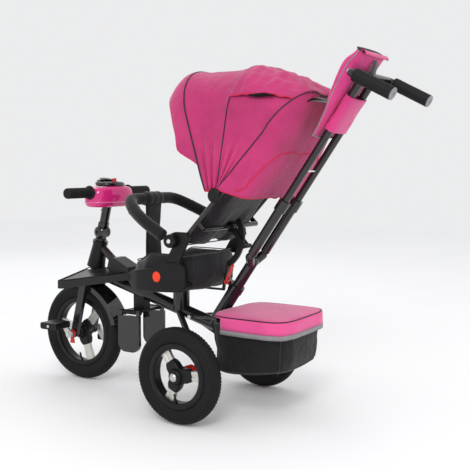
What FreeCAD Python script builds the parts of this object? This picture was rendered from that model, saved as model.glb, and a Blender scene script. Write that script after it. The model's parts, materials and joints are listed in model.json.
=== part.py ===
import FreeCAD, Part
import math
import os

# Children's tricycle with a swivelling, reclining seat, a fold-back canopy, a parent push
# handle and a rear basket.
# Millimetres. X runs forwards, Y to the rider's left, Z up. While the parts are built, X = 0 is
# the rear axle; when they are written the whole tricycle is shifted along X so that the origin
# is the middle of its footprint, on the ground.

V = FreeCAD.Vector
Y_AXIS = V(0, 1, 0)

# ---- driving dimensions -------------------------------------------------------------------
WHEELBASE = 524.0
HALF_TRACK = 213.0

REAR_WHEEL_R = 127.0
REAR_TYRE_HALF_W = 23.0
REAR_RIM_R = 88.0
REAR_RIM_BORE_R = 70.0
FRONT_WHEEL_R = 150.0
FRONT_TYRE_HALF_W = 24.0
FRONT_RIM_R = 109.0
FRONT_RIM_BORE_R = 92.0
RIM_HALF_W = 16.0
HUB_R = 21.0
SPOKE_WIDTH = 26.0
SPOKE_THICK = 10.0
AXLE_R = 6.0

HEAD_ANGLE = 14.5
FORK_LEG_Y = 40.0
FORK_LEG_WALL = 7.0
CROWN_START = 163.0
CROWN_DEPTH = 14.0
STEERER_R = 12.0
HEAD_TUBE_R = 16.0
HEAD_TUBE_START = 179.0
HEAD_TUBE_END = 300.0
FOLD_DISTANCE = 325.0
STEM_R = 14.0
STEM_END = 438.0

MAIN_TUBE_R = 18.0
MAIN_TUBE_HEAD = 200.0
MAIN_TUBE_TAIL_Z = 222.0
BRACE_R = 12.0
SEAT_POST_X = 145.0
SEAT_POST_R = 24.0
AXLE_TUBE_R = 12.0
AXLE_TUBE_HALF = 186.0
STAY_R = 9.0

DECK_FRONT_X = 486.0
DECK_TAIL_X = 318.0
DECK_HALF_W = 150.0
DECK_TOP_Z = 356.0
DECK_TIP_Z = 328.0
DECK_SKIRT = 22.0
DECK_WALL = 4.0

SEAT_Z = 327.0
SEAT_HALF_W = 152.0
SEAT_SWEEP_R = 157.0
CUSHION_SWEEP_R = 150.0
CUSHION_HALF_W = 108.0
HINGE_X = 35.0
HINGE_Z = 475.0
ARM_Y = 140.5
ARM_THICK = 8.0
BAR_PIVOT_X = 66.0
BAR_PIVOT_Z = 468.0
BAR_TOP_X = 250.0
BAR_TOP_Z = 572.0
BAR_TUBE_R = 7.0
FOAM_R = 17.0

BACK_ANGLE = 43.0
BACK_ROD_Y = 132.0
BACK_ROD_R = 7.0
BACK_LENGTH = 489.0
HUB_ALONG_BACK = 159.0
LATCH_ALONG = 60.0
LATCH_BEHIND = 27.0
RAIL_R = 95.0
RAIL_DEPTH = 16.0

CANOPY_HALF_W = 155.0
CANOPY_R = 343.0
CANOPY_WALL = 3.0
CANOPY_CORNER_R = 105.0
VISOR_ANGLE = 38.0
BOW_R = 3.0
FRONT_BOW_Y = 148.5
FRONT_BOW_KNEE = (33.0, 26.0)
FRONT_BOW_TOP = (120.0, 312.0)
MIDDLE_BOW_KNEE = (-8.0, 40.0)
MIDDLE_BOW_TOP = (-56.0, 326.0)
MIDDLE_BOW_Y = 143.0
CANOPY_HUB_R = 19.0
HEM_Z = 585.0
HEM_REAR_X = -155.0

HANDLE_ANGLE = 34.8
HANDLE_FOOT_X = 25.0
HANDLE_FOOT_Z = 235.0
SOCKET_R = 19.0
SOCKET_LENGTH = 127.0
LEVER_STANDOFF = 8.0
POST_R = 15.0
YOKE_ALONG = 212.0
TWIN_Y = 34.0
LOWER_TUBE_R = 12.5
UPPER_TUBE_R = 10.0
LOWER_TUBE_START = 242.0
LOWER_TUBE_END = 400.0
UPPER_TUBE_START = 335.0
HANDLE_TIE = 510.0
CROSSBAR_ALONG = 790.0
GRIP_Y = 125.0
GRIP_R = 16.0
GRIP_DROOP = 27.5
GRIP_REACH = 124.0

BAG_HALF_W = 75.0
BAG_START = 604.0
BAG_END = 835.0
BAG_WALL = 3.0
BAND_START = 633.0
BAND_END = 731.0

BASKET_FRONT_X = -25.0
BASKET_REAR_X = -260.0
BASKET_HALF_W = 128.0
BASKET_TOP_Z = 262.0
BASKET_FLOOR_Z = 105.0
BASKET_TAPER = 16.0
BASKET_CORNER_R = 45.0
RAIL_BOLT_X = 95.0
BASKET_WALL = 3.0
LID_SKIRT = 38.0

CONSOLE_X = 413.0
CONSOLE_Z = 545.0
CONSOLE_LENGTH = 100.0
CONSOLE_HALF_W = 85.0
CONSOLE_HEIGHT = 62.0
BAR_HALF_W = 178.0
BAR_R = 10.0
BAR_Z = 588.0
BAR_GRIP_R = 15.5

CRANK_THROW = 40.0
CRANK_ANGLE = 55.0
CRANK_Y = 62.0
CRANK_THICK = 8.0
PEDAL_PIN_R = 4.5

FOOTREST_X = 252.0
FOOTREST_LENGTH = 78.0
FOOTREST_Y = 54.0
FOOTREST_Z = 240.0
FOOTREST_DROP = 118.0

RUNNING_GAP = 0.06
CLEAR = 0.4
BUTTON_TRAVEL = 2.0

# ---- places worked out from them ----------------------------------------------------------
FRONT_AXLE = V(WHEELBASE, 0, FRONT_WHEEL_R)
REAR_AXLE_Z = REAR_WHEEL_R
HEAD_DIR = V(-math.sin(math.radians(HEAD_ANGLE)), 0, math.cos(math.radians(HEAD_ANGLE)))
HANDLE_DIR = V(-math.sin(math.radians(HANDLE_ANGLE)), 0, math.cos(math.radians(HANDLE_ANGLE)))
HANDLE_OUT = V(HANDLE_DIR.z, 0, -HANDLE_DIR.x)
BACK_DIR = V(-math.sin(math.radians(BACK_ANGLE)), 0, math.cos(math.radians(BACK_ANGLE)))
BACK_OUT = V(BACK_DIR.z, 0, -BACK_DIR.x)
GRIP_DIR = V(-math.cos(math.radians(GRIP_DROOP)), 0, -math.sin(math.radians(GRIP_DROOP)))


def on_head(distance, y=0.0):
    """Point on the steering axis, at a distance above the front axle."""
    return FRONT_AXLE + HEAD_DIR * distance + V(0, y, 0)


def on_handle(distance, out=0.0, y=0.0):
    """Point along the push handle, from its foot; out is towards the seat."""
    foot = V(HANDLE_FOOT_X, y, HANDLE_FOOT_Z)
    return foot + HANDLE_DIR * distance + HANDLE_OUT * out


def on_back(distance, out=0.0, y=0.0):
    """Point along the backrest, from its hinge; out is towards the child."""
    return V(HINGE_X, y, HINGE_Z) + BACK_DIR * distance + BACK_OUT * out


# ---- building blocks ----------------------------------------------------------------------
def rod(start, end, radius):
    axis = end - start
    return Part.makeCylinder(radius, axis.Length, start, axis)


def pipe(start, end, radius, bore):
    return rod(start, end, radius).cut(rod(start, end, bore))


def cross_rod(x, z, y_from, y_to, radius):
    return rod(V(x, y_from, z), V(x, y_to, z), radius)


def box(x_from, x_to, y_from, y_to, z_from, z_to):
    return Part.makeBox(x_to - x_from, y_to - y_from, z_to - z_from, V(x_from, y_from, z_from))


def side_plate(points, y_from, y_to):
    """Prism along Y whose outline is a list of (x, z) points."""
    outline = [V(x, y_from, z) for x, z in points]
    return Part.Face(Part.makePolygon(outline + outline[:1])).extrude(V(0, y_to - y_from, 0))


def slab(points, half_width):
    """Prism along Y, centred on the middle plane, through corner points."""
    outline = [V(p.x, -half_width, p.z) for p in points]
    return Part.Face(Part.makePolygon(outline + outline[:1])).extrude(V(0, 2 * half_width, 0))


def edges_along(shape, direction):
    """Straight edges of a shape that run along a direction."""
    chosen = []
    for edge in shape.Edges:
        if edge.Curve.TypeId == "Part::GeomLine":
            run = edge.Vertexes[-1].Point - edge.Vertexes[0].Point
            if run.Length > 0 and run.cross(direction).Length < 1e-6 * run.Length:
                chosen.append(edge)
    return chosen


def rounded_block(x_from, x_to, half_width, z_from, z_to, corner):
    block = box(x_from, x_to, -half_width, half_width, z_from, z_to)
    return block.makeFillet(corner, edges_along(block, V(0, 0, 1)))


def mirrored(shape):
    return shape.mirror(V(0, 0, 0), Y_AXIS)


def both_sides(shape):
    return Part.makeCompound([shape, mirrored(shape)])


def fused(shapes):
    joined = shapes[0].multiFuse(shapes[1:])
    return joined.removeSplitter()


def bent_path(points, bend):
    """Wire of straight runs joined by tangent arcs of one bend radius."""
    edges = []
    last = points[0]
    for before, corner, after in zip(points, points[1:], points[2:]):
        back = (before - corner).normalize()
        ahead = (after - corner).normalize()
        half_turn = back.getAngle(ahead) / 2
        reach = bend / math.tan(half_turn)
        middle = (back + ahead).normalize()
        centre = corner + middle * (bend / math.sin(half_turn))
        arc_start = corner + back * reach
        arc_end = corner + ahead * reach
        edges.append(Part.LineSegment(last, arc_start).toShape())
        edges.append(Part.Arc(arc_start, centre - middle * bend, arc_end).toShape())
        last = arc_end
    edges.append(Part.LineSegment(last, points[-1]).toShape())
    return Part.Wire(edges)


def bent_tube(points, bend, radius, bore=0.0):
    """Round tube along a bent path."""
    path = bent_path(points, bend)
    axis = (points[1] - points[0]).normalize()
    outer = Part.Wire(Part.makeCircle(radius, points[0], axis))
    tube = path.makePipeShell([outer], True, False)
    if bore:
        inner = Part.Wire(Part.makeCircle(bore, points[0], axis))
        tube = tube.cut(path.makePipeShell([inner], True, False))
    return tube


def ring(centre, y_from, y_to, radius, bore):
    outer = cross_rod(centre.x, centre.z, y_from, y_to, radius)
    return outer.cut(cross_rod(centre.x, centre.z, y_from, y_to, bore))


# ---- wheels -------------------------------------------------------------------------------
def tyre(centre, radius, half_width, rim_radius):
    """Pneumatic tyre: a hollow round section with a flattened tread."""
    wall = 4.0
    bead_half = half_width * 0.62
    middle = (radius + rim_radius) / 2
    tread_half = half_width * 0.6
    shoulder = 3.0

    def section(half, inner, outer, bead, tread, drop):
        def at(across, out):
            return V(centre.x, centre.y + across, centre.z + out)
        edges = [
            Part.LineSegment(at(-bead, inner), at(bead, inner)),
            Part.Arc(at(bead, inner), at(half, middle), at(tread, outer - drop)),
            Part.Arc(at(tread, outer - drop), at(0, outer), at(-tread, outer - drop)),
            Part.Arc(at(-tread, outer - drop), at(-half, middle), at(-bead, inner)),
        ]
        return Part.Face(Part.Wire([edge.toShape() for edge in edges]))

    outside = section(half_width, rim_radius, radius, bead_half, tread_half, shoulder)
    inside = section(half_width - wall, rim_radius + wall, radius - wall,
                     bead_half - wall, tread_half - wall, shoulder)
    return outside.cut(inside).revolve(centre, Y_AXIS, 360)


def wheel(centre, rim_radius, rim_bore, hub_half, axle_bore, first_spoke):
    """Moulded wheel: drop-centre rim, three flat spokes and a hub."""
    seat_gap = 0.1
    drop = 5.0
    flange = 4.0
    outer = rim_radius - seat_gap
    half = RIM_HALF_W
    profile = [(-half, rim_bore + drop), (-half, outer), (-half + flange, outer),
               (-half + 2 * flange, outer - drop), (half - 2 * flange, outer - drop),
               (half - flange, outer), (half, outer), (half, rim_bore + drop),
               (half - drop, rim_bore), (-half + drop, rim_bore)]
    outline = [V(centre.x, centre.y + across, centre.z + out) for across, out in profile]
    rim = Part.Face(Part.makePolygon(outline + outline[:1])).revolve(centre, Y_AXIS, 360)
    pieces = [rim, cross_rod(centre.x, centre.z, centre.y - hub_half, centre.y + hub_half, HUB_R)]
    for turn in (first_spoke, first_spoke + 120, first_spoke + 240):
        spoke = box(centre.x - SPOKE_WIDTH / 2, centre.x + SPOKE_WIDTH / 2,
                    centre.y - SPOKE_THICK / 2, centre.y + SPOKE_THICK / 2,
                    centre.z + HUB_R / 2, centre.z + rim_bore + 2.0)
        spoke.rotate(centre, Y_AXIS, turn)
        pieces.append(spoke)
    solid = fused(pieces)
    return solid.cut(cross_rod(centre.x, centre.z, centre.y - 2 * hub_half,
                               centre.y + 2 * hub_half, axle_bore))


def rear_centre(side):
    return V(0, side * HALF_TRACK, REAR_AXLE_Z)


def rear_tyre(side):
    return tyre(rear_centre(side), REAR_WHEEL_R, REAR_TYRE_HALF_W, REAR_RIM_R)


def rear_wheel(side):
    return wheel(rear_centre(side), REAR_RIM_R, REAR_RIM_BORE_R, 23.0, AXLE_R + RUNNING_GAP, 36)


def front_tyre():
    return tyre(FRONT_AXLE, FRONT_WHEEL_R, FRONT_TYRE_HALF_W, FRONT_RIM_R)


def front_wheel():
    return wheel(FRONT_AXLE, FRONT_RIM_R, FRONT_RIM_BORE_R, 27.0, AXLE_R + RUNNING_GAP, 78)


# ---- frame --------------------------------------------------------------------------------
def main_tube_line():
    head = on_head(MAIN_TUBE_HEAD)
    tail = V(HANDLE_FOOT_X, 0, MAIN_TUBE_TAIL_Z)
    return head, tail


def main_tube_point(x):
    head, tail = main_tube_line()
    share = (x - tail.x) / (head.x - tail.x)
    return tail + (head - tail) * share


def main_frame():
    """One weldment: head tube, main tube, top brace, seat post and handle socket."""
    head, tail = main_tube_line()
    brace_top = on_head(HEAD_TUBE_END - 16.0)
    brace_foot = main_tube_point(290.0)
    post_foot = main_tube_point(SEAT_POST_X)
    post_top = V(SEAT_POST_X, 0, SEAT_Z - 9.0)
    pieces = [
        rod(head, tail, MAIN_TUBE_R),
        rod(on_head(HEAD_TUBE_START), on_head(HEAD_TUBE_END), HEAD_TUBE_R),
        rod(brace_top, brace_foot, BRACE_R),
        rod(post_foot, post_top, SEAT_POST_R),
        rod(post_top, post_top + V(0, 0, 8.0), 62.0),
        rod(post_top, post_top + V(0, 0, 26.0), 12.0),
        rod(on_handle(-14.0), on_handle(SOCKET_LENGTH), SOCKET_R),
    ]
    frame = fused(pieces)
    steerer_bore = rod(on_head(100.0), on_head(HEAD_TUBE_END + 30.0), STEERER_R + RUNNING_GAP)
    handle_bore = rod(on_handle(0.0), on_handle(SOCKET_LENGTH + 10.0), POST_R + RUNNING_GAP)
    rail_bolt = main_tube_point(RAIL_BOLT_X)
    bolt_hole = cross_rod(rail_bolt.x, rail_bolt.z, -40.0, 40.0, 3.1)
    return frame.cut(steerer_bore).cut(handle_bore).cut(bolt_hole)


def axle_tube():
    start = V(0, -AXLE_TUBE_HALF, REAR_AXLE_Z)
    end = V(0, AXLE_TUBE_HALF, REAR_AXLE_Z)
    return pipe(start, end, AXLE_TUBE_R, AXLE_R + RUNNING_GAP)


def rear_frame():
    """Axle tube with two stays that run forwards and inwards to the main tube."""
    meet = main_tube_point(150.0)
    stay = rod(V(0, 112.0, REAR_AXLE_Z), V(meet.x, 10.0, meet.z), STAY_R)
    stay = stay.cut(main_frame())
    stay = max(stay.Solids, key=lambda piece: piece.Volume)
    body = fused([axle_tube(), stay, mirrored(stay)])
    return body.cut(cross_rod(0, REAR_AXLE_Z, -200, 200, AXLE_R + RUNNING_GAP))


def rear_axle():
    """Axle rod with a domed nut swaged on each end."""
    pieces = [cross_rod(0, REAR_AXLE_Z, -HALF_TRACK - 26.0, HALF_TRACK + 26.0, AXLE_R)]
    for side in (1, -1):
        face = side * (HALF_TRACK + 23.5)
        span = sorted((face, face + side * 9.0))
        dome = Part.makeSphere(14.0, V(0, face - side * 4.5, REAR_AXLE_Z))
        pieces.append(cross_rod(0, REAR_AXLE_Z, *span, 11.0).common(dome))
    return fused(pieces)


def head_cover():
    """Tapered plastic sleeve with a ring collar round the head tube."""
    low = on_head(HEAD_TUBE_START + 36.0)
    high = on_head(HEAD_TUBE_END - 4.0)
    cone = Part.makeCone(28.0, 20.5, (high - low).Length, low, HEAD_DIR)
    collar = rod(on_head(HEAD_TUBE_END - 12.0), on_head(HEAD_TUBE_END - 2.0), 23.0)
    head, tail = main_tube_line()
    cover = fused([cone, collar])
    cover = cover.cut(rod(on_head(100.0), on_head(400.0), HEAD_TUBE_R + CLEAR))
    brace_top = on_head(HEAD_TUBE_END - 16.0)
    cover = cover.cut(rod(brace_top, main_tube_point(290.0), BRACE_R + CLEAR))
    return cover.cut(rod(head, tail, MAIN_TUBE_R + CLEAR))


def deck_outline(inset):
    """Plan of the foot platform: a delta that narrows towards the seat."""
    front = DECK_FRONT_X - inset
    half = DECK_HALF_W - 1.6 * inset
    tail = DECK_TAIL_X + inset
    tail_half = 30.0 - inset
    side = [V(front, half, 0), V(front - 14.0, half, 0), V(tail, tail_half, 0)]
    points = side + [V(p.x, -p.y, 0) for p in reversed(side)]
    return Part.Face(Part.makePolygon(points + points[:1]))


def deck_layer(inset, drop, depth):
    """Part of the platform's body: gull-shaped section, drop below the top, depth thick."""
    plan = deck_outline(inset)
    plan.translate(V(0, 0, 200.0))
    column = plan.extrude(V(0, 0, 300.0))
    reach = DECK_HALF_W + 20.0
    fall = (DECK_TOP_Z - DECK_TIP_Z) * reach / DECK_HALF_W
    top = DECK_TOP_Z - drop
    section = [V(250.0, -reach, top - fall), V(250.0, 0, top), V(250.0, reach, top - fall),
               V(250.0, reach, top - fall - depth), V(250.0, 0, top - depth),
               V(250.0, -reach, top - fall - depth)]
    gull = Part.Face(Part.makePolygon(section + section[:1])).extrude(V(300.0, 0, 0))
    return column.common(gull)


def foot_platform():
    """Moulded foot platform with a hump over the frame tubes and a skirt all round."""
    shell = deck_layer(0.0, 0.0, DECK_SKIRT).cut(deck_layer(DECK_WALL, DECK_WALL, DECK_SKIRT))
    hump = side_plate([(404, 352), (394, 391), (374, 391), (322, 366), (320, 348)], -27.0, 27.0)
    hump = hump.makeFillet(8.0, edges_along(hump, Y_AXIS)[:3])
    body = fused([shell, hump])
    head, tail = main_tube_line()
    brace_top = on_head(HEAD_TUBE_END - 16.0)
    body = body.cut(rod(head, tail, MAIN_TUBE_R + CLEAR))
    body = body.cut(rod(brace_top, main_tube_point(290.0), BRACE_R + CLEAR))
    body = body.cut(rod(on_head(100.0), on_head(400.0), 28.0 + CLEAR))
    return max(body.Solids, key=lambda piece: piece.Volume)


# ---- fork and steering --------------------------------------------------------------------
def fork():
    """Weldment of crown, two flat legs and steering tube with half a folding joint."""
    leg_half_depth = 12.0
    pieces = []
    for side in (-1, 1):
        inner = side * FORK_LEG_Y - FORK_LEG_WALL
        outer = side * FORK_LEG_Y + FORK_LEG_WALL
        foot = on_head(0.0)
        top = on_head(CROWN_START + CROWN_DEPTH)
        across = V(HEAD_DIR.z, 0, -HEAD_DIR.x) * leg_half_depth
        corners = [foot + across, top + across, top - across, foot - across]
        leg = side_plate([(p.x, p.z) for p in corners], inner, outer)
        pieces += [leg, cross_rod(foot.x, foot.z, inner, outer, leg_half_depth + 2.0)]
    across = V(HEAD_DIR.z, 0, -HEAD_DIR.x) * 14.0
    low = on_head(CROWN_START)
    high = on_head(CROWN_START + CROWN_DEPTH)
    crown = [low + across, high + across, high - across, low - across]
    pieces.append(slab(crown, FORK_LEG_Y + FORK_LEG_WALL))
    pivot = on_head(FOLD_DISTANCE)
    neck = V(HEAD_DIR.z, 0, -HEAD_DIR.x) * 12.0
    pieces += [
        rod(on_head(CROWN_START + CROWN_DEPTH / 2), on_head(FOLD_DISTANCE - 20.0), STEERER_R),
        rod(on_head(HEAD_TUBE_END + 0.5), on_head(FOLD_DISTANCE - 20.0), 17.0),
        slab([on_head(FOLD_DISTANCE - 21.0) + neck, pivot + neck,
              pivot - neck, on_head(FOLD_DISTANCE - 21.0) - neck], 9.0),
        cross_rod(pivot.x, pivot.z, -9.0, 9.0, 17.0),
        cross_rod(pivot.x, pivot.z, -21.0, 21.0, 5.0),
    ]
    body = fused(pieces)
    return body.cut(cross_rod(FRONT_AXLE.x, FRONT_AXLE.z, -60, 60, AXLE_R + RUNNING_GAP))


def mudguard():
    """Curved strip with two lips over the top and back of the front wheel."""
    inner = FRONT_WHEEL_R + 6.0
    outer = inner + 3.0
    lip = FRONT_WHEEL_R - 8.0
    half = 32.0
    profile = [(-half, lip), (-half, outer), (half, outer), (half, lip), (half - 3.0, lip),
               (half - 3.0, inner), (-half + 3.0, inner), (-half + 3.0, lip)]
    outline = [FRONT_AXLE + V(0, across, out) for across, out in profile]
    strip = Part.Face(Part.makePolygon(outline + outline[:1])).revolve(FRONT_AXLE, Y_AXIS, -88)
    strip.rotate(FRONT_AXLE, Y_AXIS, 12)
    across = V(HEAD_DIR.z, 0, -HEAD_DIR.x) * 10.0
    low = on_head(outer - 1.0)
    high = on_head(CROWN_START - 0.1)
    tab = slab([low + across, high + across, high - across, low - across], 14.0)
    return fused([strip, tab])


def stem_tube():
    """Stem with the domed cheeks of the folding joint, bored for the release button."""
    pivot = on_head(FOLD_DISTANCE)
    pieces = [pipe(on_head(FOLD_DISTANCE + 20.0), on_head(STEM_END), STEM_R, STEM_R - 2.0),
              rod(on_head(FOLD_DISTANCE + 20.0), on_head(FOLD_DISTANCE + 32.0), 15.5)]
    for side in (-1, 1):
        near = side * 9.4
        far = side * 24.0
        cheek = cross_rod(pivot.x, pivot.z, min(near, far), max(near, far), 18.0)
        cheek = cheek.common(Part.makeSphere(25.0, pivot))
        web_low = on_head(FOLD_DISTANCE)
        web_high = on_head(FOLD_DISTANCE + 32.0)
        across = V(HEAD_DIR.z, 0, -HEAD_DIR.x) * 9.0
        web = [web_low + across, web_high + across, web_high - across, web_low - across]
        plate = side_plate([(p.x, p.z) for p in web], min(near, side * 15.0), max(near, side * 15.0))
        pieces += [cheek, plate]
    stem = fused(pieces)
    stem = stem.cut(cross_rod(pivot.x, pivot.z, -40, 40, 5.0 + RUNNING_GAP))
    return stem.cut(stem_release_rod(4.0 + RUNNING_GAP, 40.0))


def stem_release_rod(radius, length):
    face = on_head(395.0)
    return rod(face + V(STEM_R - 7.0, 0, 0), face + V(STEM_R - 7.0 + length, 0, 0), radius)


def stem_release():
    return stem_release_rod(4.0, 12.0)


def handlebar_tube():
    return pipe(V(CONSOLE_X, -BAR_HALF_W, BAR_Z), V(CONSOLE_X, BAR_HALF_W, BAR_Z), BAR_R, BAR_R - 2.0)


def console_body():
    """Moulded handlebar housing round the bar and the stem's head."""
    half = CONSOLE_LENGTH / 2
    top = CONSOLE_Z + CONSOLE_HEIGHT
    body = rounded_block(CONSOLE_X - half, CONSOLE_X + half, CONSOLE_HALF_W, CONSOLE_Z, top, 42.0)
    top_edges = [edge for edge in body.Edges if edge.BoundBox.ZMin > top - 0.1]
    body = body.makeFillet(12.0, top_edges)
    body = body.cut(cross_rod(CONSOLE_X, BAR_Z, -200, 200, BAR_R + CLEAR))
    body = body.cut(rod(on_head(FOLD_DISTANCE + 40.0), on_head(STEM_END + CLEAR), STEM_R + CLEAR))
    return max(body.Solids, key=lambda piece: piece.Volume)


def panel_plan(shrink):
    ellipse = Part.Ellipse(V(0, 0, 0), 46.0 - shrink, 38.0 - shrink)
    face = Part.Face(Part.Wire(ellipse.toShape()))
    face.rotate(V(0, 0, 0), V(0, 0, 1), 90)
    face.translate(V(CONSOLE_X - 6.0, 0, CONSOLE_Z + CONSOLE_HEIGHT + 0.2))
    return face


def console_panel():
    panel = panel_plan(0.0).extrude(V(0, 0, 21.0))
    rim = [edge for edge in panel.Edges if edge.BoundBox.ZMin > panel.BoundBox.ZMax - 0.1]
    panel = panel.makeFillet(8.0, rim)
    return panel.cut(power_button_rod(6.0 + RUNNING_GAP, 40.0, BUTTON_TRAVEL + 1.0))


def power_button_rod(radius, length, deeper=0.0):
    foot = V(CONSOLE_X - 30.0, 10.0, CONSOLE_Z + CONSOLE_HEIGHT + 8.0 - deeper)
    return rod(foot, foot + V(0, 0, length), radius)


def power_button():
    return power_button_rod(6.0, 14.5)


def handlebar_grips():
    end = V(CONSOLE_X, BAR_HALF_W + 5.0, BAR_Z)
    start = V(CONSOLE_X, CONSOLE_HALF_W + 0.5, BAR_Z)
    flange = V(CONSOLE_X, CONSOLE_HALF_W + 5.0, BAR_Z)
    grip = fused([rod(start, end, BAR_GRIP_R), rod(start, flange, BAR_GRIP_R + 5.0)])
    grip = grip.cut(rod(start, V(CONSOLE_X, BAR_HALF_W + 0.3, BAR_Z), BAR_R + 0.1))
    return both_sides(grip)


# ---- cranks and pedals --------------------------------------------------------------------
def pedal_centre(side):
    angle = math.radians(CRANK_ANGLE)
    throw = V(math.cos(angle), 0, math.sin(angle)) * (side * CRANK_THROW)
    return FRONT_AXLE + throw


def crank_set():
    """Spindle through the fork and wheel, with an arm and pedal pin at each end."""
    pieces = [cross_rod(FRONT_AXLE.x, FRONT_AXLE.z, -CRANK_Y - CRANK_THICK - 4.0,
                        CRANK_Y + CRANK_THICK + 4.0, AXLE_R)]
    for side in (-1, 1):
        eye = pedal_centre(side)
        low = side * CRANK_Y
        high = side * (CRANK_Y + CRANK_THICK)
        span = (min(low, high), max(low, high))
        along = (eye - FRONT_AXLE).normalize()
        across = V(-along.z, 0, along.x) * 9.0
        arm = [FRONT_AXLE + across, eye + across, eye - across, FRONT_AXLE - across]
        pin = sorted((low, side * 134.0))
        pieces += [
            side_plate([(p.x, p.z) for p in arm], *span),
            cross_rod(FRONT_AXLE.x, FRONT_AXLE.z, *span, 12.0),
            cross_rod(eye.x, eye.z, *span, 9.0),
            cross_rod(eye.x, eye.z, *pin, PEDAL_PIN_R),
        ]
    return fused(pieces)


def pedal(side):
    centre = pedal_centre(side)
    near = side * (CRANK_Y + CRANK_THICK + 2.0)
    far = side * 132.0
    low, high = sorted((near, far))
    body = box(centre.x - 33.0, centre.x + 33.0, low, high, centre.z - 10.0, centre.z + 10.0)
    body = body.makeFillet(6.0, edges_along(body, Y_AXIS))
    return body.cut(cross_rod(centre.x, centre.z, -140, 140, PEDAL_PIN_R + RUNNING_GAP))


def clutch_lever():
    """Small lever on the crank spindle that locks the cranks to the wheel."""
    low = FORK_LEG_Y + FORK_LEG_WALL + 3.0
    high = low + 5.0
    arm = side_plate([(FRONT_AXLE.x - 5.0, FRONT_AXLE.z - 7.0), (FRONT_AXLE.x + 5.0, FRONT_AXLE.z - 7.0),
                      (FRONT_AXLE.x + 8.0, FRONT_AXLE.z - 30.0),
                      (FRONT_AXLE.x - 8.0, FRONT_AXLE.z - 30.0)], low, high)
    body = fused([cross_rod(FRONT_AXLE.x, FRONT_AXLE.z, low, high, 12.0), arm])
    return body.cut(cross_rod(FRONT_AXLE.x, FRONT_AXLE.z, low - 1, high + 1, AXLE_R + RUNNING_GAP))


# ---- rear brake and footrests -------------------------------------------------------------
def brake_pedal(side):
    """Foot lever that turns on the axle tube beside one rear wheel."""
    low, high = sorted((side * 152.0, side * 178.0))
    eye_low, eye_high = sorted((side * 158.0, side * 174.0))
    z = REAR_AXLE_Z
    arm = side_plate([(-10.0, z - 16.0), (-64.0, z - 30.0), (-66.0, z - 24.0), (-14.0, z - 6.0)],
                     eye_low, eye_high)
    foot = side_plate([(-38.0, z - 22.0), (-70.0, z - 32.0), (-72.0, z - 25.0), (-40.0, z - 14.0)],
                      low, high)
    body = fused([cross_rod(0, z, eye_low, eye_high, AXLE_TUBE_R + 6.0), arm, foot])
    return body.cut(cross_rod(0, z, -190, 190, AXLE_TUBE_R + RUNNING_GAP))


def footrest_bracket():
    """Clamp under the main tube with a hinge pin along each side."""
    x_from = FOOTREST_X + 13.5
    x_to = FOOTREST_X + FOOTREST_LENGTH - 13.5
    mid = main_tube_point(FOOTREST_X + FOOTREST_LENGTH / 2)
    block = box(x_from + 6.0, x_to - 6.0, -15.0, 15.0, FOOTREST_Z - 4.0, mid.z)
    block = block.cut(rod(*main_tube_line(), MAIN_TUBE_R + 0.05))
    block = max(block.Solids, key=lambda piece: -piece.BoundBox.ZMin)
    plate = box(x_from, x_to, -FOOTREST_Y, FOOTREST_Y, FOOTREST_Z - 4.0, FOOTREST_Z + 4.0)
    pieces = [block, plate]
    for side in (-1, 1):
        y = side * FOOTREST_Y
        pieces.append(rod(V(x_from, y, FOOTREST_Z), V(x_to, y, FOOTREST_Z), 7.0))
        pieces.append(rod(V(FOOTREST_X, y, FOOTREST_Z),
                          V(FOOTREST_X + FOOTREST_LENGTH, y, FOOTREST_Z), 3.0))
    return fused(pieces)


def footrest(side):
    """Foot plate that hangs beside the frame and folds outwards."""
    y = side * FOOTREST_Y
    x_from = FOOTREST_X
    x_to = FOOTREST_X + FOOTREST_LENGTH
    low, high = sorted((y - side * 1.0, y + side * 10.0))
    plate = box(x_from, x_to, low, high, FOOTREST_Z - FOOTREST_DROP, FOOTREST_Z - 10.0)
    plate = plate.makeFillet(26.0, [edge for edge in edges_along(plate, Y_AXIS)
                                    if edge.BoundBox.ZMax < FOOTREST_Z - FOOTREST_DROP + 1.0])
    pieces = [plate]
    for start in (x_from + 0.5, x_to - 12.5):
        pieces.append(rod(V(start, y, FOOTREST_Z), V(start + 12.0, y, FOOTREST_Z), 7.0))
        tab = sorted((y - side * 1.0, y + side * 6.0))
        pieces.append(box(start, start + 12.0, *tab, FOOTREST_Z - 14.0, FOOTREST_Z))
    body = fused(pieces)
    return body.cut(rod(V(x_from - 5, y, FOOTREST_Z), V(x_to + 5, y, FOOTREST_Z), 3.0 + RUNNING_GAP))


# ---- seat ---------------------------------------------------------------------------------
def seat_shell():
    """Swivelling seat tub with a moulded pod on each side."""
    profile = [(58, SEAT_Z), (200, SEAT_Z), (238, 345), (238, 368), (205, 380), (128, 392),
               (92, 410), (58, 410), (46, 392), (46, 340)]
    block = side_plate(profile, -SEAT_HALF_W, SEAT_HALF_W)
    sweep = rod(V(SEAT_POST_X, 0, 300), V(SEAT_POST_X, 0, 500), SEAT_SWEEP_R)
    block = block.common(sweep)
    pocket = box(20.0, 300.0, -CUSHION_HALF_W - 2.0, CUSHION_HALF_W + 2.0, SEAT_Z + 25.0, 500.0)
    block = block.cut(pocket)
    pin = rod(V(SEAT_POST_X, 0, 300), V(SEAT_POST_X, 0, SEAT_Z + 18.5), 12.0 + RUNNING_GAP)
    block = block.cut(pin)
    for side in (-1, 1):
        block = block.cut(swivel_button_rod(side, 9.0 + RUNNING_GAP, 40.0, BUTTON_TRAVEL + 1.0))
    return block


def swivel_button_rod(side, radius, length, deeper=0.0):
    start = V(118.0, side * (SEAT_HALF_W - 16.0 - deeper), 368.0)
    return rod(start, start + V(0, side * length, 0), radius)


def swivel_button(side):
    return swivel_button_rod(side, 9.0, 18.0)


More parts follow.
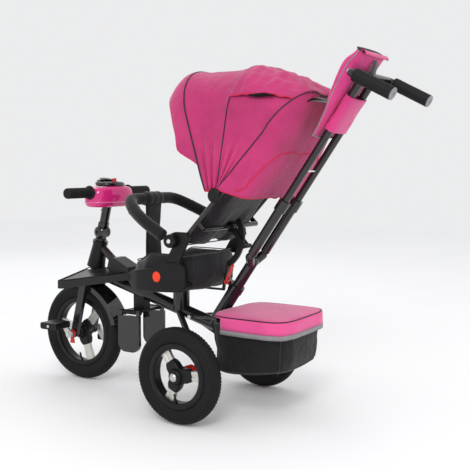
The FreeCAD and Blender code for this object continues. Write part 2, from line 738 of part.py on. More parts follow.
def seat_cushion():
    """Fabric seat: a base pad with raised back and side walls."""
    half = CUSHION_HALF_W
    base = box(10.0, 266.0, -half, half, SEAT_Z + 26.0, 394.0)
    back = box(6.0, 45.0, -half, half, SEAT_Z + 5.0, 430.0)
    left = box(10.0, 170.0, half - 22.0, half, SEAT_Z + 26.0, 424.0)
    right = box(10.0, 170.0, -half, -half + 22.0, SEAT_Z + 26.0, 424.0)
    body = fused([base, back, left, right])
    sweep = rod(V(SEAT_POST_X, 0, 300), V(SEAT_POST_X, 0, 500), CUSHION_SWEEP_R)
    return body.common(sweep)


def seat_arm(side):
    """Upright side arm with the backrest hinge pin and the safety bar's pivot."""
    outline = [(92, 410.5), (46, 410.5), (16, 468), (20, 492), (58, 492), (80, 484), (82, 456), (66, 452)]
    low, high = sorted((side * ARM_Y, side * (ARM_Y + ARM_THICK)))
    pin = sorted((side * (ARM_Y - 16.0), side * (ARM_Y + 1.0)))
    stub = sorted((side * (ARM_Y + ARM_THICK - 1.0), side * (ARM_Y + ARM_THICK + 19.0)))
    arm = side_plate(outline, low, high)
    return fused([arm, cross_rod(HINGE_X, HINGE_Z, *pin, 5.0),
                  cross_rod(BAR_PIVOT_X, BAR_PIVOT_Z, *stub, 5.0)])


def seat_arms():
    return Part.makeCompound([seat_arm(1), seat_arm(-1)])


def polar(centre, radius, degrees):
    angle = math.radians(degrees)
    return V(centre.x + radius * math.cos(angle), 0, centre.z + radius * math.sin(angle))


def recline_rail():
    """Arc plate behind the seat, centred on the backrest hinge, and its foot bracket."""
    hinge = V(HINGE_X, 0, HINGE_Z)
    half = 4.0
    start, middle, end = 150.0, 194.0, 238.0
    outer = RAIL_R + RAIL_DEPTH / 2
    inner = RAIL_R - RAIL_DEPTH / 2
    edges = [
        Part.Arc(polar(hinge, outer, start), polar(hinge, outer, middle), polar(hinge, outer, end)),
        Part.LineSegment(polar(hinge, outer, end), polar(hinge, inner, end)),
        Part.Arc(polar(hinge, inner, end), polar(hinge, inner, middle), polar(hinge, inner, start)),
        Part.LineSegment(polar(hinge, inner, start), polar(hinge, outer, start)),
    ]
    face = Part.Face(Part.Wire([edge.toShape() for edge in edges]))
    face.translate(V(0, -half, 0))
    arc = face.extrude(V(0, 2 * half, 0))
    low = polar(hinge, RAIL_R - 4.0, 236.0)
    high = polar(hinge, RAIL_R - 6.5, 237.5)
    foot = [V(58, 0, 321), V(-3, 0, 321), low, high, V(4, 0, 326.5), V(58, 0, 326.5)]
    bracket = slab(foot, half - 0.6)
    return arc.fuse(bracket)


# ---- safety bar ---------------------------------------------------------------------------
def bar_points(trim=0.0):
    y_out = ARM_Y + ARM_THICK + 10.5
    rise = V(BAR_TOP_X - BAR_PIVOT_X, 0, BAR_TOP_Z - BAR_PIVOT_Z)
    start = V(BAR_PIVOT_X, y_out, BAR_PIVOT_Z) + rise * trim
    corner = V(BAR_TOP_X, 96.0, BAR_TOP_Z)
    elbow = V(BAR_PIVOT_X, y_out, BAR_PIVOT_Z) + rise * 0.55
    side = [start, elbow, corner]
    return side + [V(p.x, -p.y, p.z) for p in reversed(side)]


def safety_bar():
    """Bent steel tube with a pivot boss at each end."""
    tube = bent_tube(bar_points(0.12), 40.0, BAR_TUBE_R)
    pieces = [tube]
    for side in (-1, 1):
        span = sorted((side * (ARM_Y + ARM_THICK + 0.5), side * (ARM_Y + ARM_THICK + 17.0)))
        pieces.append(cross_rod(BAR_PIVOT_X, BAR_PIVOT_Z, *span, 17.0))
        rise = V(BAR_TOP_X - BAR_PIVOT_X, 0, BAR_TOP_Z - BAR_PIVOT_Z)
        boss = V(BAR_PIVOT_X, side * (ARM_Y + ARM_THICK + 10.5), BAR_PIVOT_Z)
        pieces.append(rod(boss, boss + rise * 0.15, BAR_TUBE_R))
    body = fused(pieces)
    return body.cut(cross_rod(BAR_PIVOT_X, BAR_PIVOT_Z, -200, 200, 5.0 + RUNNING_GAP))


def safety_foam():
    foam = bent_tube(bar_points(0.2), 40.0, FOAM_R)
    core = bent_tube(bar_points(0.12), 40.0, BAR_TUBE_R + 0.1)
    return foam.cut(core)


def crotch_strap():
    """Fabric sleeve round the middle of the bar with a wide strap down to the seat."""
    half = 36.0
    sleeve = cross_rod(BAR_TOP_X, BAR_TOP_Z, -half, half, FOAM_R + 4.0)
    strap = box(BAR_TOP_X - 7.0, BAR_TOP_X + 6.0, -half, half, 398.0, BAR_TOP_Z - FOAM_R)
    body = fused([sleeve, strap])
    return body.cut(cross_rod(BAR_TOP_X, BAR_TOP_Z, -half - 1, half + 1, FOAM_R + 0.3))


# ---- backrest -----------------------------------------------------------------------------
def backrest_frame():
    """Steel hoop: two side rods and a top bar, with hinge lugs and a latch tab."""
    top = BACK_LENGTH
    points = [on_back(0, 0, BACK_ROD_Y), on_back(top, 0, BACK_ROD_Y),
              on_back(top, 0, -BACK_ROD_Y), on_back(0, 0, -BACK_ROD_Y)]
    pieces = [bent_tube(points, 90.0, BACK_ROD_R)]
    for side in (-1, 1):
        span = sorted((side * (ARM_Y - 15.0), side * (ARM_Y - 0.5)))
        pieces.append(cross_rod(HINGE_X, HINGE_Z, *span, 13.0))
    cross = latch_pivot()
    pieces.append(cross_rod(cross.x, cross.z, -BACK_ROD_Y, BACK_ROD_Y, 7.0))
    for side in (-1, 1):
        y = side * BACK_ROD_Y
        pieces.append(rod(on_back(LATCH_ALONG, 0.0, y), on_back(LATCH_ALONG, -LATCH_BEHIND, y), 7.0))
    body = fused(pieces)
    return body.cut(cross_rod(HINGE_X, HINGE_Z, -200, 200, 5.0 + RUNNING_GAP))


def backrest_pad():
    half = BACK_ROD_Y - BACK_ROD_R - 3.0
    corners = [on_back(-22, -12), on_back(420, -12), on_back(420, 20), on_back(-22, 20)]
    pad = slab(corners, half)
    return pad.makeFillet(9.0, edges_along(pad, Y_AXIS))


def latch_pivot():
    return on_back(LATCH_ALONG, -LATCH_BEHIND)


def recline_latch():
    """Lever on the backrest's cross tube; its two jaws straddle the recline rail."""
    pivot = latch_pivot()
    jaw_tip = polar(V(HINGE_X, 0, HINGE_Z), RAIL_R, 186)
    tail = on_back(LATCH_ALONG - 4.0, -RAIL_R - 3.0)
    width = (tail - pivot).normalize().cross(Y_AXIS) * 5.0
    pieces = [cross_rod(pivot.x, pivot.z, -10.0, 10.0, 13.0),
              cross_rod(tail.x, tail.z, -18.0, 18.0, 6.0)]
    for side in (-1, 1):
        span = sorted((side * 4.6, side * 10.0))
        jaw = [pivot + V(9, 0, 0), pivot - V(9, 0, 0), jaw_tip - V(7, 0, 0), jaw_tip + V(7, 0, 0)]
        arm = [pivot + width, tail + width, tail - width, pivot - width]
        pieces.append(side_plate([(p.x, p.z) for p in jaw], *span))
        pieces.append(side_plate([(p.x, p.z) for p in arm], *span))
    body = fused(pieces)
    return body.cut(cross_rod(pivot.x, pivot.z, -40, 40, 7.0 + RUNNING_GAP))


# ---- canopy -------------------------------------------------------------------------------
def canopy_pivot():
    return on_back(HUB_ALONG_BACK)


def canopy_hub(side):
    """Plastic hub on the backrest rod that carries the canopy bows."""
    pivot = canopy_pivot()
    pin = sorted((side * (BACK_ROD_Y + BACK_ROD_R + 0.1), side * 159.0))
    cap = sorted((side * 153.5, side * 159.0))
    return fused([cross_rod(pivot.x, pivot.z, *pin, 5.0), cross_rod(pivot.x, pivot.z, *cap, CANOPY_HUB_R)])


def canopy_hubs():
    return Part.makeCompound([canopy_hub(1), canopy_hub(-1)])


def bow(knee, top, y):
    """Wire hoop that turns on the canopy hubs; knee and top are (x, z) from the hub."""
    pivot = canopy_pivot()
    foot = V(knee[0], 0, knee[1])
    crest = V(top[0], 0, top[1])
    ring_edge = foot.normalize() * 9.0
    foot = V(knee[0], 0, knee[1])
    corner = CANOPY_CORNER_R - 6.5
    half = [pivot + ring_edge, pivot + foot, pivot + crest]
    points = [p + V(0, y, 0) for p in half] + [p - V(0, y, 0) for p in reversed(half)]
    upper = bent_tube(points[1:-1], corner, BOW_R)
    pieces = [upper]
    for side in (-1, 1):
        span = sorted((side * (y - 2.4), side * (y + 2.4)))
        offset = V(0, side * y, 0)
        pieces.append(cross_rod(pivot.x, pivot.z, *span, 12.0))
        pieces.append(rod(pivot + ring_edge + offset, pivot + foot + offset, BOW_R))
        pieces.append(Part.makeSphere(BOW_R, pivot + foot + offset))
    body = fused(pieces)
    return body.cut(cross_rod(pivot.x, pivot.z, -200, 200, 5.0 + RUNNING_GAP))


def front_bow():
    return bow(FRONT_BOW_KNEE, FRONT_BOW_TOP, FRONT_BOW_Y)


def middle_bow():
    return bow(MIDDLE_BOW_KNEE, MIDDLE_BOW_TOP, MIDDLE_BOW_Y)


def hoop_face(shrink, foot, angle):
    """U-shaped section of the canopy in the plane of a bow."""
    half = CANOPY_HALF_W - shrink
    top = CANOPY_R - shrink
    corner = CANOPY_CORNER_R - shrink
    diagonal = corner * math.sqrt(0.5)
    edges = [
        Part.LineSegment(V(0, -half, foot), V(0, -half, top - corner)),
        Part.Arc(V(0, -half, top - corner), V(0, -half + corner - diagonal, top - corner + diagonal),
                 V(0, -half + corner, top)),
        Part.LineSegment(V(0, -half + corner, top), V(0, half - corner, top)),
        Part.Arc(V(0, half - corner, top), V(0, half - corner + diagonal, top - corner + diagonal),
                 V(0, half, top - corner)),
        Part.LineSegment(V(0, half, top - corner), V(0, half, foot)),
        Part.LineSegment(V(0, half, foot), V(0, -half, foot)),
    ]
    face = Part.Face(Part.Wire([edge.toShape() for edge in edges]))
    face.rotate(V(0, 0, 0), Y_AXIS, angle)
    face.translate(canopy_pivot())
    return face


def canopy_front():
    """Cloth roof and sides between the backrest's hoop and the edge of the visor."""
    foot = CANOPY_HUB_R + 6.0
    start = -BACK_ANGLE + 3.0
    cloth = hoop_face(0.0, foot, start).cut(hoop_face(CANOPY_WALL, foot - 5.0, start))
    return cloth.revolve(canopy_pivot(), Y_AXIS, VISOR_ANGLE - start)


def canopy_rear():
    """Cloth behind the backrest: the rear panel and two side gussets."""
    hub = canopy_pivot()
    top = hub + BACK_DIR * CANOPY_R
    gap = BACK_OUT * -9.0
    lean = V(top.x - HEM_REAR_X, 0, top.z - HEM_Z).normalize()
    across = V(lean.z, 0, -lean.x) * CANOPY_WALL
    hem_rear = V(HEM_REAR_X, 0, HEM_Z)
    hem_front = V(hub.x - 5.0, 0, HEM_Z)
    wedge = [top + gap, hem_rear, hem_front, hub + gap]
    inner = [top + gap + across, hem_rear + across - V(0, 0, 20.0), hem_front - V(0, 0, 20.0),
             hem_front + V(80.0, 0, 0), top + gap + V(80.0, 0, 60.0)]
    reach = BACK_OUT * -150.0
    outer_hoop = hoop_face(0.0, -60.0, -BACK_ANGLE).extrude(reach)
    inner_hoop = hoop_face(CANOPY_WALL, -70.0, -BACK_ANGLE).extrude(reach)
    outside = slab(wedge, CANOPY_HALF_W).common(outer_hoop)
    inside = slab(inner, CANOPY_HALF_W - CANOPY_WALL).common(inner_hoop)
    cloth = outside.cut(inside)
    cloth = cloth.cut(cross_rod(hub.x, hub.z, -200, 200, CANOPY_HUB_R + 4.0))
    return max(cloth.Solids, key=lambda piece: piece.Volume)


# ---- push handle --------------------------------------------------------------------------
def handle_post():
    """Single lower tube with the yoke that splits into the two handle tubes."""
    radius = LOWER_TUBE_R - 0.2
    elbow_at = LOWER_TUBE_START - radius - 0.2
    pieces = [rod(on_handle(0.5), on_handle(YOKE_ALONG), POST_R),
              Part.makeSphere(POST_R, on_handle(YOKE_ALONG))]
    for side in (-1, 1):
        y = side * TWIN_Y
        elbow = on_handle(elbow_at, 0, y)
        pieces.append(rod(on_handle(YOKE_ALONG - 12.0), elbow, radius))
        pieces.append(Part.makeSphere(radius, elbow))
        pieces.append(rod(elbow, on_handle(LOWER_TUBE_START + 10.0, 0, y), UPPER_TUBE_R))
    return fused(pieces)


def handle_lower_tubes():
    start = LOWER_TUBE_START
    tubes = [pipe(on_handle(start, 0, side * TWIN_Y), on_handle(LOWER_TUBE_END, 0, side * TWIN_Y),
                  LOWER_TUBE_R, UPPER_TUBE_R + RUNNING_GAP) for side in (1, -1)]
    return Part.makeCompound(tubes)


def telescope_collars():
    collars = []
    for side in (1, -1):
        y = side * TWIN_Y
        low = on_handle(LOWER_TUBE_END - 16.0, 0, y)
        high = on_handle(LOWER_TUBE_END + 16.0, 0, y)
        collar = rod(low, high, LOWER_TUBE_R + 3.5)
        collar = collar.cut(rod(low, on_handle(LOWER_TUBE_END + 0.1, 0, y), LOWER_TUBE_R + 0.05))
        collars.append(collar.cut(rod(low, high, UPPER_TUBE_R + RUNNING_GAP)))
    return Part.makeCompound(collars)


def handle_upper_tubes():
    """Two sliding tubes joined by the crossbar and its bent ends."""
    pieces = []
    for side in (1, -1):
        y = side * TWIN_Y
        pieces.append(rod(on_handle(UPPER_TUBE_START, 0, y), on_handle(CROSSBAR_ALONG, 0, y), UPPER_TUBE_R))
    bar = on_handle(CROSSBAR_ALONG)
    reach = GRIP_DIR * (GRIP_REACH - 6.0)
    side_bar = V(bar.x, GRIP_Y, bar.z)
    other = V(bar.x, -GRIP_Y, bar.z)
    path = [side_bar + reach, side_bar, other, other + reach]
    pieces.append(bent_tube(path, 15.0, UPPER_TUBE_R))
    return fused(pieces)


def handle_tie():
    """Bright cross tie between the sliding tubes."""
    at = on_handle(HANDLE_TIE)
    tie = cross_rod(at.x, at.z, -TWIN_Y + UPPER_TUBE_R + 0.05, TWIN_Y - UPPER_TUBE_R - 0.05, 4.0)
    tubes = handle_upper_tubes()
    return tie.cut(tubes)


def handle_grips():
    bar = on_handle(CROSSBAR_ALONG)
    grips = []
    for side in (1, -1):
        bend = V(bar.x, side * GRIP_Y, bar.z)
        start = bend + GRIP_DIR * 15.5
        end = bend + GRIP_DIR * GRIP_REACH
        bore_end = bend + GRIP_DIR * (GRIP_REACH - 5.9)
        grips.append(rod(start, end, GRIP_R).cut(rod(start, bore_end, UPPER_TUBE_R + 0.1)))
    return Part.makeCompound(grips)


def handle_trigger():
    """Finger lever round the crossbar that frees the telescoping tubes."""
    at = on_handle(CROSSBAR_ALONG)
    half = 6.0
    ring_body = cross_rod(at.x, at.z, -half, half, UPPER_TUBE_R + 2.0)
    paddle = slab([at + HANDLE_DIR * 8.0 - HANDLE_OUT * 9.0, at + HANDLE_DIR * 38.0 + HANDLE_OUT * 3.0,
                   at + HANDLE_DIR * 40.0 + HANDLE_OUT * 9.0, at + HANDLE_DIR * 9.0 + HANDLE_OUT * 4.0], half)
    body = fused([ring_body, paddle])
    return body.cut(cross_rod(at.x, at.z, -20, 20, UPPER_TUBE_R + RUNNING_GAP))


def quick_release():
    """Cam lever at the top of the socket that clamps the handle post."""
    pivot = on_handle(SOCKET_LENGTH - 8.0, SOCKET_R + LEVER_STANDOFF)
    tip = pivot + HANDLE_DIR * 50.0 + HANDLE_OUT * 12.0
    arm = [pivot + HANDLE_OUT * 5.0, tip + HANDLE_OUT * 2.5, tip - HANDLE_OUT * 2.5, pivot - HANDLE_OUT * 1.0]
    return fused([cross_rod(pivot.x, pivot.z, 8.0, 20.0, 6.5),
                  side_plate([(p.x, p.z) for p in arm], 9.0, 19.0)]).cut(
        cross_rod(pivot.x, pivot.z, 0, 30, 3.0 + RUNNING_GAP))


def socket_clamp():
    """Split collar at the top of the socket with the lever's pivot pin."""
    low = on_handle(SOCKET_LENGTH - 22.0)
    high = on_handle(SOCKET_LENGTH - 0.5)
    pivot = on_handle(SOCKET_LENGTH - 8.0, SOCKET_R + LEVER_STANDOFF)
    near = on_handle(SOCKET_LENGTH - 14.0, 0)
    lug = [near - HANDLE_DIR * 8.0, near + HANDLE_DIR * 13.0, pivot + HANDLE_DIR * 6.0 + HANDLE_OUT * 5.5,
           pivot - HANDLE_DIR * 6.0 + HANDLE_OUT * 5.5]
    body = fused([rod(low, high, SOCKET_R + 2.0), slab(lug, 7.4),
                  cross_rod(pivot.x, pivot.z, -9.0, 21.0, 3.0)])
    return body.cut(rod(on_handle(-20), on_handle(300), SOCKET_R + 0.05))


def pouch_bag():
    """Cloth pouch in front of the handle tubes with a band that wraps round them."""
    gap = UPPER_TUBE_R + 2.4
    front = [(BAG_START, 18.0), (BAG_START + 20.0, 27.0), (BAG_END - 42.0, 56.0), (BAG_END, 46.0)]
    outer = [on_handle(BAG_START, gap)] + [on_handle(s, q) for s, q in front] + [on_handle(BAG_END, gap)]
    body = slab(outer, BAG_HALF_W)
    wall = BAG_WALL
    cavity = [on_handle(BAG_START + 2 * wall, gap + wall), on_handle(BAG_START + 24.0, 27.0 - wall),
              on_handle(BAG_END - 42.0, 56.0 - wall), on_handle(BAG_END + 1.0, 46.0 - wall),
              on_handle(BAG_END + 1.0, gap + wall)]
    body = body.cut(slab(cavity, BAG_HALF_W - wall))
    half = TWIN_Y + UPPER_TUBE_R + 5.0
    band = [on_handle(BAND_START, gap), on_handle(BAND_END, gap),
            on_handle(BAND_END, -UPPER_TUBE_R - 5.0), on_handle(BAND_START, -UPPER_TUBE_R - 5.0)]
    hollow = [on_handle(BAND_START - 9.0, gap), on_handle(BAND_END + 9.0, gap),
              on_handle(BAND_END + 9.0, -UPPER_TUBE_R - 2.0), on_handle(BAND_START - 9.0, -UPPER_TUBE_R - 2.0)]
    wrap = slab(band, half).cut(slab(hollow, half - wall))
    return fused([body, wrap])


# ---- basket -------------------------------------------------------------------------------
def basket_plan(inset, z):
    """Rounded rectangle of the basket at a height; it narrows towards the floor."""
    share = (BASKET_TOP_Z - z) / (BASKET_TOP_Z - BASKET_FLOOR_Z)
    taper = inset + BASKET_TAPER * share
    front = BASKET_FRONT_X - inset - 4.0 * share
    rear = BASKET_REAR_X + taper
    half = BASKET_HALF_W - taper
    corner = BASKET_CORNER_R - inset
    middle = V(front, 0, z)
    points = [middle, V(front, half, z), V(rear, half, z), V(rear, -half, z), V(front, -half, z), middle]
    return bent_path(points, corner)


def basket():
    """Open-topped cloth basket."""
    outer = Part.makeLoft([basket_plan(0.0, BASKET_FLOOR_Z), basket_plan(0.0, BASKET_TOP_Z)], True, True)
    wall = BASKET_WALL
    inner = Part.makeLoft([basket_plan(wall, BASKET_FLOOR_Z + wall), basket_plan(wall, BASKET_TOP_Z + 1.0)],
                          True, True)
    return outer.cut(inner).cut(basket_rail_arms(5.0))


def basket_rail_arms(radius):
    bolt = main_tube_point(RAIL_BOLT_X)
    inside = V(BASKET_FRONT_X - 9.0, 62.0, BASKET_TOP_Z - 8.0)
    arm = rod(V(bolt.x, MAIN_TUBE_R + 4.5, bolt.z), inside, radius)
    return both_sides(arm)


def basket_rail():
    """Wire hoop inside the basket's rim, with two arms bolted to the main tube."""
    wire = 3.5
    z = BASKET_TOP_Z - 8.0
    front = BASKET_FRONT_X - 9.0
    rear = BASKET_REAR_X + 9.0
    half = BASKET_HALF_W - 9.0
    points = [V(front, 0, z), V(front, half, z), V(rear, half, z), V(rear, -half, z), V(front, -half, z),
              V(front, 0, z)]
    bolt = main_tube_point(RAIL_BOLT_X)
    hoop = bent_tube(points, 36.0, wire)
    pieces = [hoop]
    pieces += basket_rail_arms(wire).Solids
    for side in (-1, 1):
        span = sorted((side * (MAIN_TUBE_R + 1.0), side * (MAIN_TUBE_R + 12.0)))
        pieces.append(cross_rod(bolt.x, bolt.z, *span, 7.0))
    return fused(pieces).cut(cross_rod(bolt.x, bolt.z, -40, 40, 3.1))


def basket_lid():
    """Cloth lid with a skirt that drops over three sides of the basket."""
    z_low = BASKET_TOP_Z - LID_SKIRT
    z_top = BASKET_TOP_Z + 14.0
    gap = 1.2
    wall = 3.0

    def block(grow, low, high):
        return rounded_block(BASKET_REAR_X - grow, BASKET_FRONT_X + grow, BASKET_HALF_W + grow,
                             low, high, BASKET_CORNER_R + grow)
    lid = block(gap + wall, z_low, z_top).cut(block(gap, z_low - 1.0, BASKET_TOP_Z + gap))
    skirt_end = BASKET_FRONT_X - 48.0
    hinge_x = BASKET_FRONT_X - 5.0
    lid = lid.cut(box(skirt_end, hinge_x + 40.0, -200, 200, z_low - 1.0, BASKET_TOP_Z + gap))
    return lid.cut(box(hinge_x, hinge_x + 40.0, -200, 200, z_low - 1.0, z_top + 1.0))


# ---- fasteners ----------------------------------------------------------------------------
def frame_bolts():
    """Bolt across the main tube for the basket rail."""
    bolt = main_tube_point(RAIL_BOLT_X)
    shank = cross_rod(bolt.x, bolt.z, -MAIN_TUBE_R - 16.0, MAIN_TUBE_R + 16.0, 3.0)
    heads = []
    for side in (-1, 1):
        span = sorted((side * (MAIN_TUBE_R + 12.1), side * (MAIN_TUBE_R + 16.0)))
        heads.append(cross_rod(bolt.x, bolt.z, *span, 5.5))
    return fused([shank] + heads)


PARTS = {
    "main_frame": main_frame,
    "rear_frame": rear_frame,
    "rear_axle": rear_axle,
    "frame_bolts": frame_bolts,
    "head_cover": head_cover,
    "foot_platform": foot_platform,
    "footrest_bracket": footrest_bracket,
    "footrest_left": lambda: footrest(1),
    "footrest_right": lambda: footrest(-1),
    "brake_pedal_left": lambda: brake_pedal(1),
    "brake_pedal_right": lambda: brake_pedal(-1),
    "rear_tyre_left": lambda: rear_tyre(1),
    "rear_wheel_left": lambda: rear_wheel(1),
    "rear_tyre_right": lambda: rear_tyre(-1),
    "rear_wheel_right": lambda: rear_wheel(-1),
    "fork": fork,
    "mudguard": mudguard,
    "front_tyre": front_tyre,
    "front_wheel": front_wheel,
    "crank_set": crank_set,
    "pedal_left": lambda: pedal(1),
    "pedal_right": lambda: pedal(-1),
    "clutch_lever": clutch_lever,
    "stem_tube": stem_tube,
    "stem_release": stem_release,
    "handlebar_tube": handlebar_tube,
    "console_body": console_body,
    "console_panel": console_panel,
    "power_button": power_button,
    "handlebar_grips": handlebar_grips,
    "seat_shell": seat_shell,
    "seat_cushion": seat_cushion,
    "seat_arms": seat_arms,
    "swivel_button_left": lambda: swivel_button(1),
    "swivel_button_right": lambda: swivel_button(-1),
    "recline_rail": recline_rail,
    "recline_latch": recline_latch,
    "backrest_frame": backrest_frame,
    "backrest_pad": backrest_pad,
    "safety_bar": safety_bar,
    "safety_foam": safety_foam,
    "crotch_strap": crotch_strap,
    "canopy_hubs": canopy_hubs,
    "front_bow": front_bow,
    "middle_bow": middle_bow,
    "canopy_front": canopy_front,
    "canopy_rear": canopy_rear,
    "socket_clamp": socket_clamp,
    "quick_release": quick_release,
    "handle_post": handle_post,
    "handle_lower_tubes": handle_lower_tubes,
    "telescope_collars": telescope_collars,
    "handle_upper_tubes": handle_upper_tubes,
    "handle_tie": handle_tie,
    "handle_grips": handle_grips,
    "handle_trigger": handle_trigger,
    "pouch_bag": pouch_bag,
    "basket": basket,
    "basket_rail": basket_rail,
    "basket_lid": basket_lid,
}


def footprint_middle():
    """X of the middle of the footprint, between the grips' ends and the front tyre."""
    front = FRONT_AXLE.x + FRONT_WHEEL_R
    grips = handle_grips().BoundBox.XMin
    return round((front + grips) / 2, 1)


def main():
    os.makedirs("parts", exist_ok=True)
    shift = V(-footprint_middle(), 0, 0)
    for name, make in PARTS.items():
        shape = make()
        shape.translate(shift)
        shape.exportStep("parts/" + name + ".step")


main()
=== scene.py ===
import bpy
import bmesh
import json
import math
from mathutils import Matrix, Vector, noise

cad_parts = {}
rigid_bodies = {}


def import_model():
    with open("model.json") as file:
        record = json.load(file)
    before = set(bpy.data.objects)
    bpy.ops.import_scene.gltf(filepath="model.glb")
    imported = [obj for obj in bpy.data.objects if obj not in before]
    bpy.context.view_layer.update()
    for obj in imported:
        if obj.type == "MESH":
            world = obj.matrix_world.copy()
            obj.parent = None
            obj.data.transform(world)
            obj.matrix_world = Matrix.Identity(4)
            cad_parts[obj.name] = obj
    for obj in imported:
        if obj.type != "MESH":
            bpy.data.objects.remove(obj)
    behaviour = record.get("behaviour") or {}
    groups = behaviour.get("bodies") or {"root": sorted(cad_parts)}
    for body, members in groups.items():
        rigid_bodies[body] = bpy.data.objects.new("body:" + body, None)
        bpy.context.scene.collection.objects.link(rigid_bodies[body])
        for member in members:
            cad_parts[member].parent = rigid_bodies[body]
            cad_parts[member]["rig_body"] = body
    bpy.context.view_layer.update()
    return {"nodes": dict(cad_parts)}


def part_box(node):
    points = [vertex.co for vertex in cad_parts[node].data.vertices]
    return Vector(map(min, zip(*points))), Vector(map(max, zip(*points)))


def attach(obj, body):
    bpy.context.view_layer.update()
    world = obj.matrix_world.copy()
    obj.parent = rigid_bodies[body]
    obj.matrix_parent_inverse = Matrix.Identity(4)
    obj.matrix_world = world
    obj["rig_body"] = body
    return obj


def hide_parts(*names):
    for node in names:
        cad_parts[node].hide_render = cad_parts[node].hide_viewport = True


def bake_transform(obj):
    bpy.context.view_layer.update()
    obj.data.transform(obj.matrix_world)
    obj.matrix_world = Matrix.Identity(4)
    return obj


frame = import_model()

NODES = frame["nodes"]
LOW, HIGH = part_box("rear_axle")
AXLE_X = (LOW.x + HIGH.x) / 2


def at(x, y, z):
    """Millimetres from the rear axle, on the floor, to the frame's metres."""
    return Vector((x / 1000 + AXLE_X, y / 1000, z / 1000))


# ---- materials --------------------------------------------------------------
def material(name, base, rough=0.5, metal=0.0, vary=0.1, vary_scale=30.0, bump=0.1, bump_scale=600.0,
             weave=0.0, thread=0.0011, sheen=0.0, coat=0.0, spec=0.22, rough_vary=0.08, creases=0.0):
    """Procedural surface: clouded colour and roughness, fine grain, and for cloth creases and weave."""
    m = bpy.data.materials.new(name)
    m.use_nodes = True
    nt = m.node_tree
    bsdf = nt.nodes["Principled BSDF"]
    coord = nt.nodes.new("ShaderNodeTexCoord")

    def noise_node(scale, detail, rough_amount=0.6):
        n = nt.nodes.new("ShaderNodeTexNoise")
        n.inputs["Scale"].default_value = scale
        n.inputs["Detail"].default_value = detail
        n.inputs["Roughness"].default_value = rough_amount
        nt.links.new(coord.outputs["Object"], n.inputs["Vector"])
        return n

    cloud = noise_node(vary_scale, 6.0)
    ramp = nt.nodes.new("ShaderNodeValToRGB")
    ramp.color_ramp.elements[0].position = 0.3
    ramp.color_ramp.elements[1].position = 0.7
    ramp.color_ramp.elements[0].color = [c * (1 - vary) for c in base] + [1]
    ramp.color_ramp.elements[1].color = [min(1, c * (1 + vary)) for c in base] + [1]
    nt.links.new(cloud.outputs["Fac"], ramp.inputs["Fac"])
    nt.links.new(ramp.outputs["Color"], bsdf.inputs["Base Color"])
    spread = nt.nodes.new("ShaderNodeMapRange")
    spread.inputs["To Min"].default_value = max(0.02, rough - rough_vary)
    spread.inputs["To Max"].default_value = min(1.0, rough + rough_vary)
    smudge = noise_node(vary_scale * 2.3, 4.0)
    nt.links.new(smudge.outputs["Fac"], spread.inputs["Value"])
    nt.links.new(spread.outputs["Result"], bsdf.inputs["Roughness"])
    bsdf.inputs["Metallic"].default_value = metal
    bsdf.inputs["Specular IOR Level"].default_value = spec
    bsdf.inputs["Coat Weight"].default_value = coat
    bsdf.inputs["Coat Roughness"].default_value = 0.08
    bsdf.inputs["Sheen Weight"].default_value = sheen
    bsdf.inputs["Sheen Roughness"].default_value = 0.4
    grain = nt.nodes.new("ShaderNodeBump")
    grain.inputs["Strength"].default_value = bump
    grain.inputs["Distance"].default_value = 0.0006
    fine = noise_node(bump_scale, 3.0)
    nt.links.new(fine.outputs["Fac"], grain.inputs["Height"])
    last = grain
    if creases:
        fold = nt.nodes.new("ShaderNodeBump")
        fold.inputs["Strength"].default_value = creases
        fold.inputs["Distance"].default_value = 0.010
        crease = noise_node(22.0, 5.0, 0.55)
        crease.inputs["Distortion"].default_value = 0.8
        nt.links.new(crease.outputs["Fac"], fold.inputs["Height"])
        nt.links.new(last.outputs["Normal"], fold.inputs["Normal"])
        last = fold
    if weave:
        waves = []
        for direction in ("X", "Z"):
            w = nt.nodes.new("ShaderNodeTexWave")
            w.bands_direction = direction
            w.inputs["Scale"].default_value = 0.314 / thread
            w.inputs["Distortion"].default_value = 0.4
            nt.links.new(coord.outputs["Object"], w.inputs["Vector"])
            waves.append(w)
        add = nt.nodes.new("ShaderNodeMath")
        add.operation = "ADD"
        nt.links.new(waves[0].outputs["Fac"], add.inputs[0])
        nt.links.new(waves[1].outputs["Fac"], add.inputs[1])
        cloth = nt.nodes.new("ShaderNodeBump")
        cloth.inputs["Strength"].default_value = weave
        cloth.inputs["Distance"].default_value = 0.0004
        nt.links.new(add.outputs["Value"], cloth.inputs["Height"])
        nt.links.new(last.outputs["Normal"], cloth.inputs["Normal"])
        last = cloth
    nt.links.new(last.outputs["Normal"], bsdf.inputs["Normal"])
    return m


PINK = material("pink_cloth", (0.50, 0.033, 0.155), 0.62, vary=0.17, vary_scale=9, bump=0.15, weave=0.35,
                sheen=0.25, creases=0.55)
PINK_LID = material("pink_lid_cloth", (0.74, 0.085, 0.28), 0.55, vary=0.07, vary_scale=14, bump=0.12, weave=0.3,
                    sheen=0.35, creases=0.2)
PINK_BAG = material("pink_bag_cloth", (0.64, 0.045, 0.22), 0.42, vary=0.08, vary_scale=14, bump=0.12, weave=0.3,
                    sheen=0.3, creases=0.4)
RED_TRIM = material("red_trim", (0.62, 0.02, 0.07), 0.5, vary=0.1, weave=0.3, thread=0.0008)
BLACK_TRIM = material("black_trim", (0.022, 0.02, 0.024), 0.6, vary=0.2, weave=0.3, thread=0.0008, sheen=0.2)
GREY_TRIM = material("grey_trim", (0.25, 0.24, 0.25), 0.45, vary=0.1, weave=0.3, thread=0.0009, sheen=0.2)
GREY = material("seat_cloth", (0.013, 0.013, 0.015), 0.62, vary=0.18, vary_scale=18, bump=0.2, weave=0.5,
                sheen=0.35, creases=0.35)
